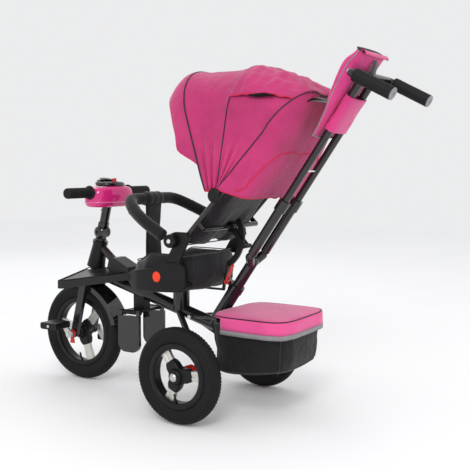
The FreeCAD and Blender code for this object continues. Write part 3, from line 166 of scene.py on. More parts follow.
MESH = material("basket_cloth", (0.007, 0.007, 0.008), 0.6, vary=0.25, vary_scale=18, bump=0.2, weave=0.8,
                thread=0.0022, sheen=0.12, creases=0.5)
FRAME = material("frame_paint", (0.012, 0.011, 0.013), 0.22, vary=0.2, bump=0.02, bump_scale=900, coat=0.6)
TUBE = material("handle_paint", (0.013, 0.010, 0.012), 0.20, vary=0.2, bump=0.02, bump_scale=900, coat=0.7)
SATIN = material("satin_plastic", (0.007, 0.007, 0.008), 0.32, vary=0.15, bump=0.12, bump_scale=1400)
GLOSS = material("gloss_plastic_black", (0.008, 0.008, 0.009), 0.10, vary=0.15, bump=0.01, coat=0.8,
                 rough_vary=0.03)
DECK = material("deck_plastic", (0.020, 0.020, 0.021), 0.28, vary=0.1, bump=0.15, bump_scale=1600)
RUBBER = material("tyre_rubber", (0.005, 0.005, 0.005), 0.62, vary=0.25, bump=0.25, bump_scale=700)
GRIP = material("grip_rubber", (0.009, 0.009, 0.010), 0.6, vary=0.2, bump=0.2, bump_scale=900)
FOAM = material("foam_cover", (0.008, 0.008, 0.009), 0.75, vary=0.2, vary_scale=40, bump=0.35, bump_scale=500,
                weave=0.3, sheen=0.3)
SLEEVE = material("sleeve_cloth", (0.014, 0.014, 0.016), 0.6, vary=0.15, bump=0.2, weave=0.4, sheen=0.3,
                  creases=0.25)
SILVER = material("spoke_silver", (0.62, 0.60, 0.57), 0.38, metal=0.75, vary=0.06, bump=0.05, bump_scale=1200)
CHROME = material("chrome", (0.80, 0.80, 0.81), 0.12, metal=1.0, vary=0.04, bump=0.02)
STEEL = material("zinc_steel", (0.55, 0.55, 0.55), 0.3, metal=1.0, vary=0.1, bump=0.06)
PINK_SHELL = material("pink_shell", (0.68, 0.022, 0.20), 0.16, vary=0.04, bump=0.01, coat=0.7, rough_vary=0.04)
PINK_SHELL_LIGHT = material("pink_shell_light", (0.80, 0.12, 0.34), 0.16, vary=0.04, bump=0.01, coat=0.7)
RED = material("red_plastic", (0.60, 0.018, 0.015), 0.25, vary=0.06, bump=0.02, coat=0.4)
ORANGE = material("orange_button", (0.85, 0.06, 0.02), 0.35, vary=0.05, bump=0.03)
GREY_PLASTIC = material("grey_plastic", (0.10, 0.10, 0.105), 0.4, vary=0.1, bump=0.1, bump_scale=1300)
CAP = material("grip_cap", (0.26, 0.26, 0.27), 0.4, vary=0.08, bump=0.08)
# Painted shade: near-black colour for the shadow in the vent gaps under the canopy flap.
VENT_SHADE = material("painted_vent_shade", (0.006, 0.004, 0.005), 0.9, vary=0.2)


# ---- mesh helpers -----------------------------------------------------------
def place(name, verts, faces, body, slot, mat, replaces=(), smooth=True, weld=False):
    """Mesh object that rides on a body, fills a material slot and stands for CAD nodes."""
    mesh = bpy.data.meshes.new(name)
    mesh.from_pydata([tuple(v) for v in verts], [], faces)
    mesh.update()
    obj = bpy.data.objects.new(name, mesh)
    bpy.context.scene.collection.objects.link(obj)
    if weld:
        edit(obj, lambda bm: bmesh.ops.remove_doubles(bm, verts=bm.verts, dist=0.00005))
    edit(obj, lambda bm: bmesh.ops.recalc_face_normals(bm, faces=bm.faces))
    for p in mesh.polygons:
        p.use_smooth = smooth
    mesh.materials.append(mat)
    if body:
        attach(obj, body)
    if replaces:
        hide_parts(*replaces)
    return obj


def edit(obj, work):
    """Run one bmesh job on an object's mesh."""
    bm = bmesh.new()
    bm.from_mesh(obj.data)
    work(bm)
    bm.to_mesh(obj.data)
    bm.free()
    obj.data.update()


def apply_modifiers(obj):
    """Keep the evaluated mesh and drop the modifiers."""
    bpy.context.view_layer.update()
    done = bpy.data.meshes.new_from_object(obj.evaluated_get(bpy.context.evaluated_depsgraph_get()))
    obj.modifiers.clear()
    obj.data = done


def grid(rows, close_u=False, close_v=False, caps=False):
    """Faces over rows of equally many points."""
    n, m = len(rows), len(rows[0])
    verts = [p for row in rows for p in row]
    faces = []
    for i in range(n if close_u else n - 1):
        for j in range(m if close_v else m - 1):
            a, b = i * m + j, i * m + (j + 1) % m
            c, d = ((i + 1) % n) * m + (j + 1) % m, ((i + 1) % n) * m + j
            faces.append((a, b, c, d))
    if caps:
        faces.append(tuple(range(m)))
        faces.append(tuple((n - 1) * m + j for j in reversed(range(m))))
    return verts, faces


def sweep(points, radius, sides=10, closed=False, flat=1.0, up=None):
    """Tube round a line of points; radius may be a function of the share along it."""
    rows = []
    n = len(points)
    normal = None
    for i, p in enumerate(points):
        before = points[i - 1] if (i or closed) else p
        after = points[(i + 1) % n] if (i < n - 1 or closed) else p
        tangent = (after - before).normalized()
        if up is not None:
            normal = (up - tangent * up.dot(tangent)).normalized()
        elif normal is None:
            normal = tangent.orthogonal().normalized()
        else:
            normal = (normal - tangent * normal.dot(tangent)).normalized()
        side = tangent.cross(normal)
        r = radius(i / (n - 1)) if callable(radius) else radius
        rows.append([p + (normal * math.cos(a) * flat + side * math.sin(a)) * r
                     for a in (2 * math.pi * k / sides for k in range(sides))])
    return grid(rows, close_u=closed, close_v=True, caps=not closed)


def smooth_line(points, steps=8):
    """Catmull-Rom line through points."""
    out = []
    for i in range(len(points) - 1):
        p0, p1 = points[max(i - 1, 0)], points[i]
        p2, p3 = points[i + 1], points[min(i + 2, len(points) - 1)]
        for k in range(steps):
            t = k / steps
            out.append(0.5 * ((2 * p1) + (p2 - p0) * t + (2 * p0 - 5 * p1 + 4 * p2 - p3) * t * t
                              + (3 * p1 - p0 - 3 * p2 + p3) * t * t * t))
    out.append(points[-1])
    return out


def lathe(centre, axis, profile, segments=64, shape=None, caps=False):
    """Solid of revolution; profile is (along, radius) in mm, from one end to the other."""
    axis = axis.normalized()
    a = Vector((0, 0, 1)) if abs(axis.z) < 0.9 else Vector((1, 0, 0))
    a = (a - axis * a.dot(axis)).normalized()
    b = axis.cross(a)
    rows = []
    for j, (along, radius) in enumerate(profile):
        row = []
        for k in range(segments):
            t = 2 * math.pi * k / segments
            r = radius + (shape(j, k, t) if shape else 0.0)
            row.append(centre + axis * along / 1000 + (a * math.cos(t) + b * math.sin(t)) * r / 1000)
        rows.append(row)
    return grid(rows, close_v=True, caps=caps)


def join(name, pieces, *args, **kw):
    """One object from several (verts, faces) shells."""
    verts, faces = [], []
    for v, f in pieces:
        base = len(verts)
        verts += list(v)
        faces += [tuple(i + base for i in one) for one in f]
    return place(name, verts, faces, *args, **kw)


def ease(t):
    t = min(1.0, max(0.0, t))
    return t * t * (3 - 2 * t)


def lerp(a, b, t):
    return a + (b - a) * t


def wrinkle(p, scale, amount, seed=0.0):
    """Smooth seeded noise in mm at a point in metres."""
    return amount * noise.noise(Vector((p.x * scale + seed, p.y * scale - seed, p.z * scale + 3.1)))


def soften(node, mat, slot, width=1.5, segments=2):
    """A CAD node's shape with rounded edges, standing for that node."""
    source = NODES[node]
    mesh = source.data.copy()
    obj = bpy.data.objects.new(node + "_soft", mesh)
    bpy.context.scene.collection.objects.link(obj)
    mesh.materials.clear()
    mesh.materials.append(mat)

    def clean(bm):
        bmesh.ops.remove_doubles(bm, verts=bm.verts, dist=0.00002)
        bmesh.ops.dissolve_limit(bm, angle_limit=math.radians(1.0), verts=bm.verts, edges=bm.edges)
        for f in bm.faces:
            f.material_index = 0
            f.smooth = True
    edit(obj, clean)
    if mesh.has_custom_normals:
        bpy.context.view_layer.objects.active = obj
        with bpy.context.temp_override(object=obj, active_object=obj):
            bpy.ops.mesh.customdata_custom_splitnormals_clear()
    bevel = obj.modifiers.new("edge", "BEVEL")
    bevel.width = width / 1000
    bevel.segments = segments
    bevel.limit_method = "ANGLE"
    bevel.angle_limit = math.radians(35)
    bevel.harden_normals = True
    apply_modifiers(obj)
    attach(obj, source["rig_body"])
    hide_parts(node)
    return obj


def dress(node, mat):
    """A better material on a CAD node that stays as it is."""
    obj = NODES[node]
    obj.data.materials.clear()
    obj.data.materials.append(mat)


def inflate(obj, pressure=4.0, cap=8.0, voxel=5.0, frames=20):
    """Swell a closed soft piece by cloth simulation, then keep the result."""
    remesh = obj.modifiers.new("remesh", "REMESH")
    remesh.mode = "VOXEL"
    remesh.voxel_size = voxel / 1000
    apply_modifiers(obj)
    rest = [v.co.copy() for v in obj.data.vertices]
    cloth = obj.modifiers.new("cloth", "CLOTH")
    cloth.settings.quality = 5
    cloth.settings.mass = 0.3
    cloth.settings.use_pressure = True
    cloth.settings.uniform_pressure_force = pressure
    cloth.settings.tension_stiffness = 12
    cloth.settings.compression_stiffness = 12
    cloth.settings.bending_stiffness = 0.4
    cloth.settings.effector_weights.gravity = 0
    cloth.point_cache.frame_start = 1
    cloth.point_cache.frame_end = frames
    scene = bpy.context.scene
    for f in range(1, frames + 1):
        scene.frame_set(f)
    apply_modifiers(obj)
    scene.frame_set(1)
    for v, start in zip(obj.data.vertices, rest):
        move = v.co - start
        if move.length > cap / 1000:
            v.co = start + move.normalized() * (cap / 1000)
    sub = obj.modifiers.new("sub", "SUBSURF")
    sub.levels = 1
    sub.render_levels = 1
    apply_modifiers(obj)
    for p in obj.data.polygons:
        p.use_smooth = True


Y_AXIS, Z_AXIS = Vector((0, 1, 0)), Vector((0, 0, 1))
SIDES = (("left", 1), ("right", -1))


# ---- wheels -----------------------------------------------------------------
def tyre(name, node, body, centre, radius, rim, half):
    """Tyre with a centre groove and staggered lugs."""
    profile = []
    for k in range(1, 24):
        t = math.pi * k / 24
        across = -math.cos(t) * half
        out = math.sin(t)
        r = rim + 3 + (radius - rim - 3) * out ** 0.55
        profile.append((across * (1.0 if out > 0.35 else 0.72 + 0.8 * out), min(r, radius)))
    bead = [(half * 0.68, rim + 1), (half * 0.55, rim - 1)]
    profile = [(-across, r) for across, r in reversed(bead)] + profile + bead
    blocks = 2 * round(radius * 0.62)

    def tread(j, k, t):
        across, r = profile[j]
        if r < radius - 9:
            return 0.5 * math.sin(j * 2.4)
        centre_groove = -1.6 if 0.16 < abs(across) / half < 0.3 else 0.0
        lug = (k // 3 + (1 if across > 0 else 0)) % 2
        return centre_groove - (1.5 if lug and abs(across) > half * 0.3 else 0.0)
    shell = lathe(at(*centre), Y_AXIS, profile, segments=3 * blocks, shape=tread)
    return join(name, [shell], body, "tyre_rubber", RUBBER, replaces=[node])


def wheel(name, node, body, centre, rim, bore, side, turns, hub_half):
    """Rim, three flat spokes with root webs, hub and valve."""
    c = at(*centre)
    half = 16.5
    ring = [(-half, bore + 4), (-half + 1, rim - 3), (-half + 3, rim), (-half + 5, rim - 1.5), (0, rim - 4),
            (half - 5, rim - 1.5), (half - 3, rim), (half - 1, rim - 3), (half, bore + 4),
            (half - 2, bore + 1), (half - 8, bore), (0, bore + 1.5), (-half + 8, bore), (-half + 2, bore + 1)]
    ring.append(ring[0])
    join(name + "_rim", [lathe(c, Y_AXIS, ring, segments=96)], body, "black_plastic", SATIN, replaces=[node])
    arms, webs = [], []
    for turn in turns:
        a = math.radians(turn)
        along = Vector((math.cos(a), 0, math.sin(a)))
        wide = Vector((-math.sin(a), 0, math.cos(a)))
        rows, root = [], []
        for t in (0.0, 0.06, 0.5, 0.94, 1.0):
            r = lerp(24, bore + 3, t)
            w = 12.5 + 2.2 * (2 * t - 1) ** 2 - (0.8 if t in (0.0, 1.0) else 0)
            rows.append([c + along * r / 1000 + wide * u * w / 1000 + Y_AXIS * v / 1000
                         for u, v in ((-1, -5), (-0.93, -6), (0.93, -6), (1, -5), (1, 5), (0.93, 6), (0.25, 6),
                                      (0.2, 4.6), (-0.2, 4.6), (-0.25, 6), (-0.93, 6), (-1, 5))])
        arms.append(grid(rows, close_v=True, caps=True))
        for r, w, d in ((10, 19, 13), (30, 18.5, 12), (40, 15.5, 9.5), (44, 13, 7.5)):
            root.append([c + along * r / 1000 + wide * u * w / 1000 + Y_AXIS * v * d / 1000
                         for u, v in ((-1, -.7), (-.85, -1), (.85, -1), (1, -.7),
                                      (1, .7), (.85, 1), (-.85, 1), (-1, .7))])
        webs.append(grid(root, close_v=True, caps=True))
    spokes = join(name + "_spokes", arms, body, "wheel_plastic", SILVER)
    right = [(9, 25), (14, 21), (hub_half - 2, 18), (hub_half, 15), (hub_half, 9)]
    hub_profile = [(-along, r) for along, r in reversed(right)] + right
    hub = join(name + "_hub", [lathe(c, Y_AXIS, hub_profile, segments=48)] + webs, body, "black_plastic", SATIN)
    for o in (spokes, hub):
        for p in o.data.polygons:
            p.use_smooth = False
        bev = o.modifiers.new("edge", "BEVEL")
        bev.width = 0.0012
        bev.segments = 2
        bev.limit_method = "ANGLE"
        apply_modifiers(o)
    stem = [c + Vector((x, y * side, -(bore - down))) / 1000
            for x, y, down in ((0, 8, -4), (2, 14, 12), (2, 17, 24))]
    join(name + "_valve", [sweep(stem, 0.003, sides=12)], body, "black_plastic", SATIN)


REAR_R, FRONT_R = 127.0, 150.0
REAR_RIM, FRONT_RIM = 88, 109
HALF_TRACK, WHEELBASE = 213, 524
for label, side in SIDES:
    middle = (0, HALF_TRACK * side, REAR_R)
    body = "rear_wheel_" + label[0]
    tyre("tyre_rear_" + label, "rear_tyre_" + label, body, middle, REAR_R, REAR_RIM, 23)
    wheel("wheel_rear_" + label, "rear_wheel_" + label, body, middle, REAR_RIM, 70, side, (54, 174, 294), 23)
middle = (WHEELBASE, 0, FRONT_R)
tyre("tyre_front", "front_tyre", "front_wheel_body", middle, FRONT_R, FRONT_RIM, 24)
wheel("wheel_front", "front_wheel", "front_wheel_body", middle, FRONT_RIM, 92, 1, (12, 132, 252), 27)

# ---- carried-over hard parts ------------------------------------------------
DRESSED = (
    (FRAME, "main_frame", "rear_frame", "backrest_frame", "front_bow", "middle_bow", "basket_rail",
     "handlebar_tube"),
    (TUBE, "handle_post", "handle_lower_tubes", "handle_upper_tubes"),
    (GLOSS, "telescope_collars", "socket_clamp"),
    (STEEL, "rear_axle", "frame_bolts"),
    (CHROME, "handle_tie"),
    (RED, "power_button", "stem_release"),
)
for mat, *nodes in DRESSED:
    for node in nodes:
        dress(node, mat)
SOFTENED = (
    ("fork", FRAME, "frame_black", 2.5),
    ("mudguard", GLOSS, "gloss_black", 1.2),
    ("crank_set", SILVER, "crank_steel", 1.2),
    ("clutch_lever", RED, "red_plastic", 1.0),
    ("pedal_left", SATIN, "black_plastic", 2.0),
    ("pedal_right", SATIN, "black_plastic", 2.0),
    ("footrest_bracket", SATIN, "black_plastic", 1.5),
    ("footrest_left", GLOSS, "black_plastic", 4.0, 3),
    ("footrest_right", GLOSS, "black_plastic", 4.0, 3),
    ("brake_pedal_left", RED, "red_plastic", 1.5),
    ("brake_pedal_right", RED, "red_plastic", 1.5),
    ("quick_release", RED, "red_plastic", 1.5),
    ("seat_arms", SATIN, "black_plastic", 3.0, 3),
    ("seat_shell", SATIN, "black_plastic", 6.0, 3),
    ("recline_rail", SATIN, "axle_steel", 0.8),
    ("recline_latch", SATIN, "black_plastic", 1.5),
    ("stem_tube", GLOSS, "gloss_black", 1.5),
    ("head_cover", SATIN, "black_plastic", 1.5),
    ("foot_platform", DECK, "deck_grey", 1.8),
    ("canopy_hubs", SATIN, "black_plastic", 1.5),
    ("safety_bar", SATIN, "black_plastic", 1.5),
    ("handle_trigger", GREY_PLASTIC, "grey_plastic", 1.2),
)
for row in SOFTENED:
    soften(*row)


def swivel_cap(tag, side):
    """Button stem with an upright oval cap."""
    mid = at(118, 0, 368)
    stem = [(140, 0.5), (140, 8.6), (149.2, 8.6)]
    cap = [(149.4, 13.0), (151.6, 13.4), (153.4, 11.6), (154.6, 7.0), (154.9, 0.4)]
    verts, faces = lathe(mid, Y_AXIS * side, stem + cap, segments=48)
    for p in verts:
        if abs(p.y) > 0.1493:
            p.z = mid.z + (p.z - mid.z) * 1.12
    join("swivel_cap_" + tag, [(verts, faces)], "button_" + tag[0], "red_plastic", ORANGE,
         replaces=["swivel_button_" + tag])


for tag, side in SIDES:
    swivel_cap(tag, side)


# ---- handlebar console ------------------------------------------------------
def superellipse(t, a, b, power):
    c, s = math.cos(t), math.sin(t)
    return (a * math.copysign(abs(c) ** (2 / power), c), b * math.copysign(abs(s) ** (2 / power), s))


def oval(count, a, b, power):
    """Points (x, y) round a superellipse."""
    return [superellipse(2 * math.pi * k / count, a, b, power) for k in range(count)]


BAR_X, SCREEN_X = 413, 409


def console():
    """Pink shell on the handlebar with a light band, a black screen lid, its hood, keys and screws."""
    rows = []
    for z, shrink in ((543, 0.72), (545, 0.86), (550, 0.94), (560, 0.985), (571, 1.0), (584, 1.0), (595, 0.965),
                      (602, 0.9), (606, 0.80), (608, 0.66)):
        row = []
        for x, y in oval(96, 49 * shrink, 87 * (0.35 + 0.65 * shrink), 2.5):
            lift = 7.0 * (abs(y) / 87) ** 2 * ((z - 543) / 65)
            row.append(at(BAR_X + x, y, z - lift))
        rows.append(row)
    body = join("console_shell", [grid(rows, close_v=True, caps=True)], "handlebar", "pink_plastic", PINK_SHELL,
                replaces=["console_body"])
    sub = body.modifiers.new("sub", "SUBSURF")
    sub.levels = sub.render_levels = 1
    apply_modifiers(body)
    band = []
    for z, grow in ((556.5, 0.0), (557, 1.2), (560.5, 1.4), (561, 0.2)):
        band.append([at(BAR_X + x, y, z) for x, y in oval(96, 48.6 + grow, 86.2 + grow, 2.5)])
    join("console_band", [grid(band, close_v=True)], "handlebar", "pink_plastic", PINK_SHELL_LIGHT)
    rows = []
    for h, shrink in ((0, 1.0), (5, 1.04), (9, 1.0), (12, 0.93),
                      (12.6, 0.86), (11.2, 0.80), (11.2, 0.5), (11.4, 0.1)):
        rows.append([at(SCREEN_X + x, y, 606 + h + max(0.0, 0.11 * x) * 1.2)
                     for x, y in oval(96, 36 * shrink, 47 * shrink, 2.3)])
    join("console_lid", [grid(rows, close_v=True, caps=True)], "handlebar", "gloss_black", GLOSS,
         replaces=["console_panel"])
    hood = []
    for i in range(13):
        a = math.radians(-62 + 124 * i / 12)
        x, y = 37 * math.cos(a), 46 * math.sin(a)
        h = 9.5 * math.cos(a) ** 0.6
        base = at(SCREEN_X + x, y, 617 + 0.12 * x)
        top = at(SCREEN_X + x * 0.86, y * 0.86, 617 + h + 0.12 * x)
        inner = at(SCREEN_X + x * 0.72, y * 0.74, 618 + h * 0.35 + 0.12 * x)
        hood.append([base, lerp(base, top, 0.6) + Vector((0.001, 0, 0)), top, inner])
    join("console_hood", [grid(hood)], "handlebar", "gloss_black", GLOSS)
    keys = []
    for i in range(6):
        a = math.radians(-75 + 30 * i + 180)
        centre = at(SCREEN_X + 18 * math.cos(a), 27 * math.sin(a), 617.6)
        keys.append(lathe(centre, Z_AXIS, [(0, 5.2), (1.4, 5.0), (2.0, 4.0), (2.0, 0.2)], segments=24))
    join("console_keys", keys, "handlebar", "gloss_black", GREY_PLASTIC)
    screw = [(-3, 4.6), (0.6, 4.6), (0.8, 3.6), (-1.5, 3.2), (-1.5, 0.2)]
    screws = [lathe(at(366.5, y, 566), Vector((-1, 0, 0.05)), screw, segments=24) for y in (-30, 30)]
    join("console_screws", screws, "handlebar", "pink_plastic", PINK_SHELL)


console()


def bar_grip(side):
    """Flanged rubber grip with fine rings."""
    profile = [(84, 15), (84.5, 19.5), (86, 20.5), (88.5, 20.5), (90, 17)]
    for k in range(22):
        start = 92 + k * 3.9
        profile += [(start, 14.6), (start + 2, 15.4), (start + 3.2, 15.4)]
    profile += [(178.5, 15.2), (181, 14.2), (182.6, 11), (183, 4), (182.2, 0.3)]
    return lathe(at(BAR_X, 0, 588), Y_AXIS * side, profile, segments=40)


join("bar_grips", [bar_grip(1), bar_grip(-1)], "handlebar", "grip_rubber", GRIP, replaces=["handlebar_grips"])

# ---- push handle grips ------------------------------------------------------
HANDLE = math.radians(34.8)
HANDLE_UP = Vector((-math.sin(HANDLE), 0, math.cos(HANDLE)))
HANDLE_OUT = Vector((math.cos(HANDLE), 0, math.sin(HANDLE)))
DROOP = math.radians(27.5)
GRIP_DIR = Vector((-math.cos(DROOP), 0, -math.sin(DROOP)))


def on_handle(s, q=0.0, y=0.0):
    """Point along the push handle from its foot; q is towards the child."""
    return at(25, y, 235) + (HANDLE_UP * s + HANDLE_OUT * q) / 1000


def push_grips():
    """Ribbed rubber grips and their end caps."""
    shells, caps = [], []
    for side in (1, -1):
        bend = on_handle(790, 0, 125 * side)
        profile = [(15, 11.5), (15.5, 14), (17, 15.8), (30, 16.2)]
        for k in range(17):
            profile += [(32 + 5 * k, 15.2), (34 + 5 * k, 16.0), (36 + 5 * k, 16.0)]
        profile += [(118, 16.0), (121, 15.4)]
        shells.append(lathe(bend, GRIP_DIR, profile, segments=40))
        cap = [(121, 15.5), (123, 15.2), (124, 13.6), (124, 5), (122.5, 4.2), (122, 0.4)]
        caps.append(lathe(bend, GRIP_DIR, cap, segments=40))
    join("push_grips", shells, "upper_handle", "grip_rubber", GRIP, replaces=["handle_grips"])
    join("push_grip_caps", caps, "upper_handle", "grey_plastic", CAP)


push_grips()

# ---- safety bar padding -----------------------------------------------------
def bar_line():
    """Middle line of the safety bar, from its left knob round to the right one."""
    left = [(88, 159, 480.5), (110, 159, 493), (140, 158, 510), (168, 153, 526), (196, 142, 541), (222, 126, 556),
            (240, 108, 566.5), (249, 84, 571.5), (250, 50, 572), (250, 0, 572)]
    right = [(x, -y, z) for x, y, z in reversed(left[:-1])]
    return smooth_line([at(*p) for p in left + right], 8)


def foam_radius(t):
    """Foam thins at both ends and is ribbed on the right side's bends."""
    side = abs(2 * t - 1)
    end = min(1.0, (1 - side) / 0.02)
    ribs = 0.0
    if t > 0.5 and 0.1 < side < 0.8:
        ribs = 0.5 * math.sin(side * 190)
    return (16.6 * (0.75 + 0.25 * math.sqrt(end)) + ribs) / 1000


line = bar_line()
tube = sweep(line, foam_radius, sides=28, up=Vector((0.0, 0.35, 0.94)))
foam = join("bar_foam", [tube], "guard_bar", "foam_black", FOAM, replaces=["safety_foam"])
seams = []
seam_profile = [(-1.2, 16.4), (-0.8, 17.6), (0.8, 17.6), (1.2, 16.4)]
for share in (0.24, 0.76):
    i = int(share * (len(line) - 1))
    seams.append(lathe(line[i], line[i + 1] - line[i - 1], seam_profile, segments=32))
join("bar_foam_seams", seams, "guard_bar", "foam_black", FOAM)


def strap():
    """Padded crotch strap with a sleeve round the bar."""
    rows = []
    for i in range(25):
        v = i / 24
        z = lerp(556, 399, v)
        half = 34.5 + 1.2 * math.cos(v * 7) - 2.0 * math.sin(math.pi * v)
        thick = 5.2 - 1.6 * math.sin(math.pi * v)
        x0 = 243.5 + 2.5 * math.sin(math.pi * v)
        n = 20
        row = []
        for way, steps in ((-1, range(n + 1)), (1, range(n, -1, -1))):
            for k in steps:
                u = -1 + 2 * k / n
                stitch = 0.9 if way < 0 and 0.72 < abs(u) < 0.8 else 0
                p = at(x0 + way * thick * (1 - abs(u) ** 8 * 0.6) - stitch, u * half, z)
                row.append(p + Vector((wrinkle(p, 30, 0.0012), 0, 0)))
        rows.append(row)
    shell = grid(rows, close_v=True, caps=True)
    sleeve_rows = []
    for i in range(25):
        u = -1 + 2 * i / 24
        r = 20.2 - 1.0 * abs(u) ** 6 + 0.5 * math.cos(u * 9)
        sleeve_rows.append([at(250 + x, u * 35.5, 572 + z) for x, z in oval(40, r, r, 2)])
    inner = [[at(250 + x, y, 572 + z) for x, z in oval(40, 17.4, 17.4, 2)] for y in (-35.5, 35.5)]
    sleeve = grid([inner[0]] + sleeve_rows + [inner[1]], close_v=True)
    obj = join("crotch_pad", [shell, sleeve], "guard_bar", "grey_fabric", SLEEVE, replaces=["crotch_strap"])


strap()


def bar_knobs():
    """Round knobs on the safety bar's pivots, each with a screw."""
    discs, centres = [], []
    for side in (1, -1):
        c = at(66, 0, 468)
        knob = [(148.8, 10), (149, 17.5), (151, 18.5), (160, 18.5), (164, 17.6), (166, 15.5), (166.3, 12.5),
                (164.8, 12)]
        discs.append(lathe(c, Y_AXIS * side, knob, segments=48))
        discs.append(lathe(c, Y_AXIS * side, [(164.8, 12.2), (165.6, 9), (165.8, 6)], segments=48))
        screw = [(165.0, 6.5), (167.3, 6.2), (168.2, 4.5), (168.4, 0.3)]
        centres.append(lathe(c, Y_AXIS * side, screw, segments=32))
    join("bar_knobs", discs, "guard_bar", "black_plastic", SATIN)
    join("bar_knob_screws", centres, "guard_bar", "axle_steel", CHROME)


bar_knobs()

# ---- canopy -----------------------------------------------------------------
HUB = at(-73.4, 0, 591.3)
BACK = math.radians(43)
BACK_UP = Vector((-math.sin(BACK), 0, math.cos(BACK)))
BACK_OUT = Vector((math.cos(BACK), 0, math.sin(BACK)))


def on_back(s, q=0.0, y=0.0):
    """Point along the backrest from its hinge; q is towards the child."""
    return at(35, y, 475) + (BACK_UP * s + BACK_OUT * q) / 1000


HOOP_HALF, HOOP_HEIGHT, HOOP_CORNER = 155.0, 343.0, 135.0
HOOP_LEG = HOOP_HEIGHT - HOOP_CORNER
HOOP_FLAT = HOOP_HALF - HOOP_CORNER


def hoop_section(n, k0=0.0):
    """(y, share of height) along a U, from share k0 on the left over the top to the right."""
    arc = HOOP_CORNER * math.pi / 2
    total = HOOP_LEG - k0 * HOOP_HEIGHT + arc + HOOP_FLAT
    out = []
    for i in range(n + 1):
        d = total * abs(1 - 2 * i / n)
        sign = 1 if i <= n / 2 else -1
        if d <= HOOP_FLAT:
            y, h = d, HOOP_HEIGHT
        elif d <= HOOP_FLAT + arc:
            a = (d - HOOP_FLAT) / HOOP_CORNER
            y, h = HOOP_FLAT + HOOP_CORNER * math.sin(a), HOOP_LEG + HOOP_CORNER * math.cos(a)
        else:
            y, h = HOOP_HALF, HOOP_LEG - (d - HOOP_FLAT - arc)
        out.append((sign * y, h / HOOP_HEIGHT))
    return out


# Foot and top (x, z) of the rear, middle and front hoops.
STATIONS = [((-84, 612), (-303, 842)), ((-79, 607), (-130, 925)), ((-42, 602), (50, 921))]
REAR, MIDDLE, FRONT = 0, 1, 2
N_SIDE = 96
SECTION = hoop_section(N_SIDE)


def station(i, k, y):
    """Point on a hoop at a share of its height; the rear one is squarer, to clear the backrest frame."""
    foot, top = STATIONS[i]
    if i == REAR and abs(y) > HOOP_FLAT and k > 0.607:
        turn = math.atan2(k * HOOP_HEIGHT - HOOP_LEG, abs(y) - HOOP_FLAT)
        push = 26 * math.sin(2 * turn)
        y += math.copysign(push * math.cos(turn), y)
        k += push * math.sin(turn) / HOOP_HEIGHT
    x, z = lerp(foot[0], top[0], k), lerp(foot[1], top[1], k)
    return at(x, y, z)


def outward(p, y, k):
    """Direction away from the inside of the hood."""
    middle = at(-110, 0, 720)
    d = p - middle
    flat = ease((k - 0.55) / 0.4)
    return Vector((d.x * 0.35, math.copysign(1.0 - flat, y) * 0.2, d.z * flat + 0.02)).normalized()


HALF_ROWS = 44


def roof_part():
    """Cloth from the rear hoop over the middle to the front one, sagging and folded between them."""
    rows = []
    for j in range(2 * HALF_ROWS + 1):
        v = j / HALF_ROWS
        a, b = (REAR, MIDDLE) if v <= 1 else (MIDDLE, FRONT)
        t = v if v <= 1 else v - 1
        row = []
        for y, k in SECTION:
            p = station(a, k, y).lerp(station(b, k, y), t)
            d = outward(p, y, k)
            bow = 4 * t * (1 - t)
            sag = -(7.0 if v > 1 else 3.0) * bow * ease((k - 0.1) / 0.4)
            if v <= 1:
                sag += 4.0 * bow * ease((k - 0.86) / 0.12)
            ray = math.sin(t * 19 + (4 if v > 1 else 1)) * (1 - ease((k - 0.08) / 0.55)) * bow
            sag += 8.5 * ray + 2.6 * math.sin(t * 31 + y * 0.02) * bow * (1 - ease(k / 0.22))
            sag += wrinkle(p, 14, 4.5, 2.0) * bow + wrinkle(p, 34, 2.2, 5.0) * bow
            if k < 0.12:
                sag -= 3.0 * (0.12 - k) / 0.12
            q = p + d * sag / 1000
            if abs(q.y) > 0.157:
                q.y = math.copysign(0.157, q.y)
            row.append(q)
        rows.append(row)
    return rows


def visor_part():
    """Brim beyond the front hoop, deepest at the top and dying out down the sides."""
    rows = []
    for j in range(1, 15):
        w = j / 14
        row = []
        for i, (y, k) in enumerate(SECTION):
            base = station(FRONT, k, y)
            reach = 54 * ease((k - 0.19) / 0.17) + 20 * ease((k - 0.7) / 0.3)
            drop = 0.10 + 0.52 * ease((k - 0.6) / 0.4)
            scallop = 1 + 0.012 * math.cos(i * 0.9) * w
            inward = 0.0 if abs(y) < 1 else math.copysign(10.0 * w * w * ease((k - 0.3) / 0.3), y)
            d = Vector((math.cos(drop), 0, -math.sin(drop) * w ** 0.8))
            p = base + d * reach * w * scallop / 1000 - Vector((0, inward / 1000, 0))
            p += Z_AXIS * (5.0 * math.sin(math.pi * w) * ease((k - 0.6) / 0.3)) / 1000
            p += outward(p, y, k) * (wrinkle(p, 18, 1.4, 9.0) * w) / 1000
            row.append(p)
        rows.append(row)
    return rows


def length(points):
    return sum((b - a).length for a, b in zip(points, points[1:]))


def thicken(obj, thickness, offset):
    solid = obj.modifiers.new("thick", "SOLIDIFY")
    solid.thickness = thickness
    solid.offset = offset
    apply_modifiers(obj)


def sheet_object(name, rows, body, mat, replaces=(), blend=None):
    """A stretched cloth sheet, thickened; its flat size and area are worked out but not stored."""
    verts, faces = grid(rows)
    slot = "pink_fabric"
    obj = place(name, verts, faces, None, slot, mat, replaces, weld=True)
    edit(obj, lambda bm: bmesh.ops.dissolve_degenerate(bm, dist=0.00005, edges=bm.edges))
    area = sum(p.area for p in obj.data.polygons)
    wide = max(length(row) for row in rows)
    columns = range(0, len(rows[0]), max(1, len(rows[0]) // 12))
    long = max(length([row[c] for row in rows]) for c in columns)
    if wide * long < area:
        long = area / wide * 1.01
    thicken(obj, 0.0012, 0)
    for p in obj.data.polygons:
        p.use_smooth = True
    if blend:
        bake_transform(obj)
    else:
        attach(obj, body)
    return obj


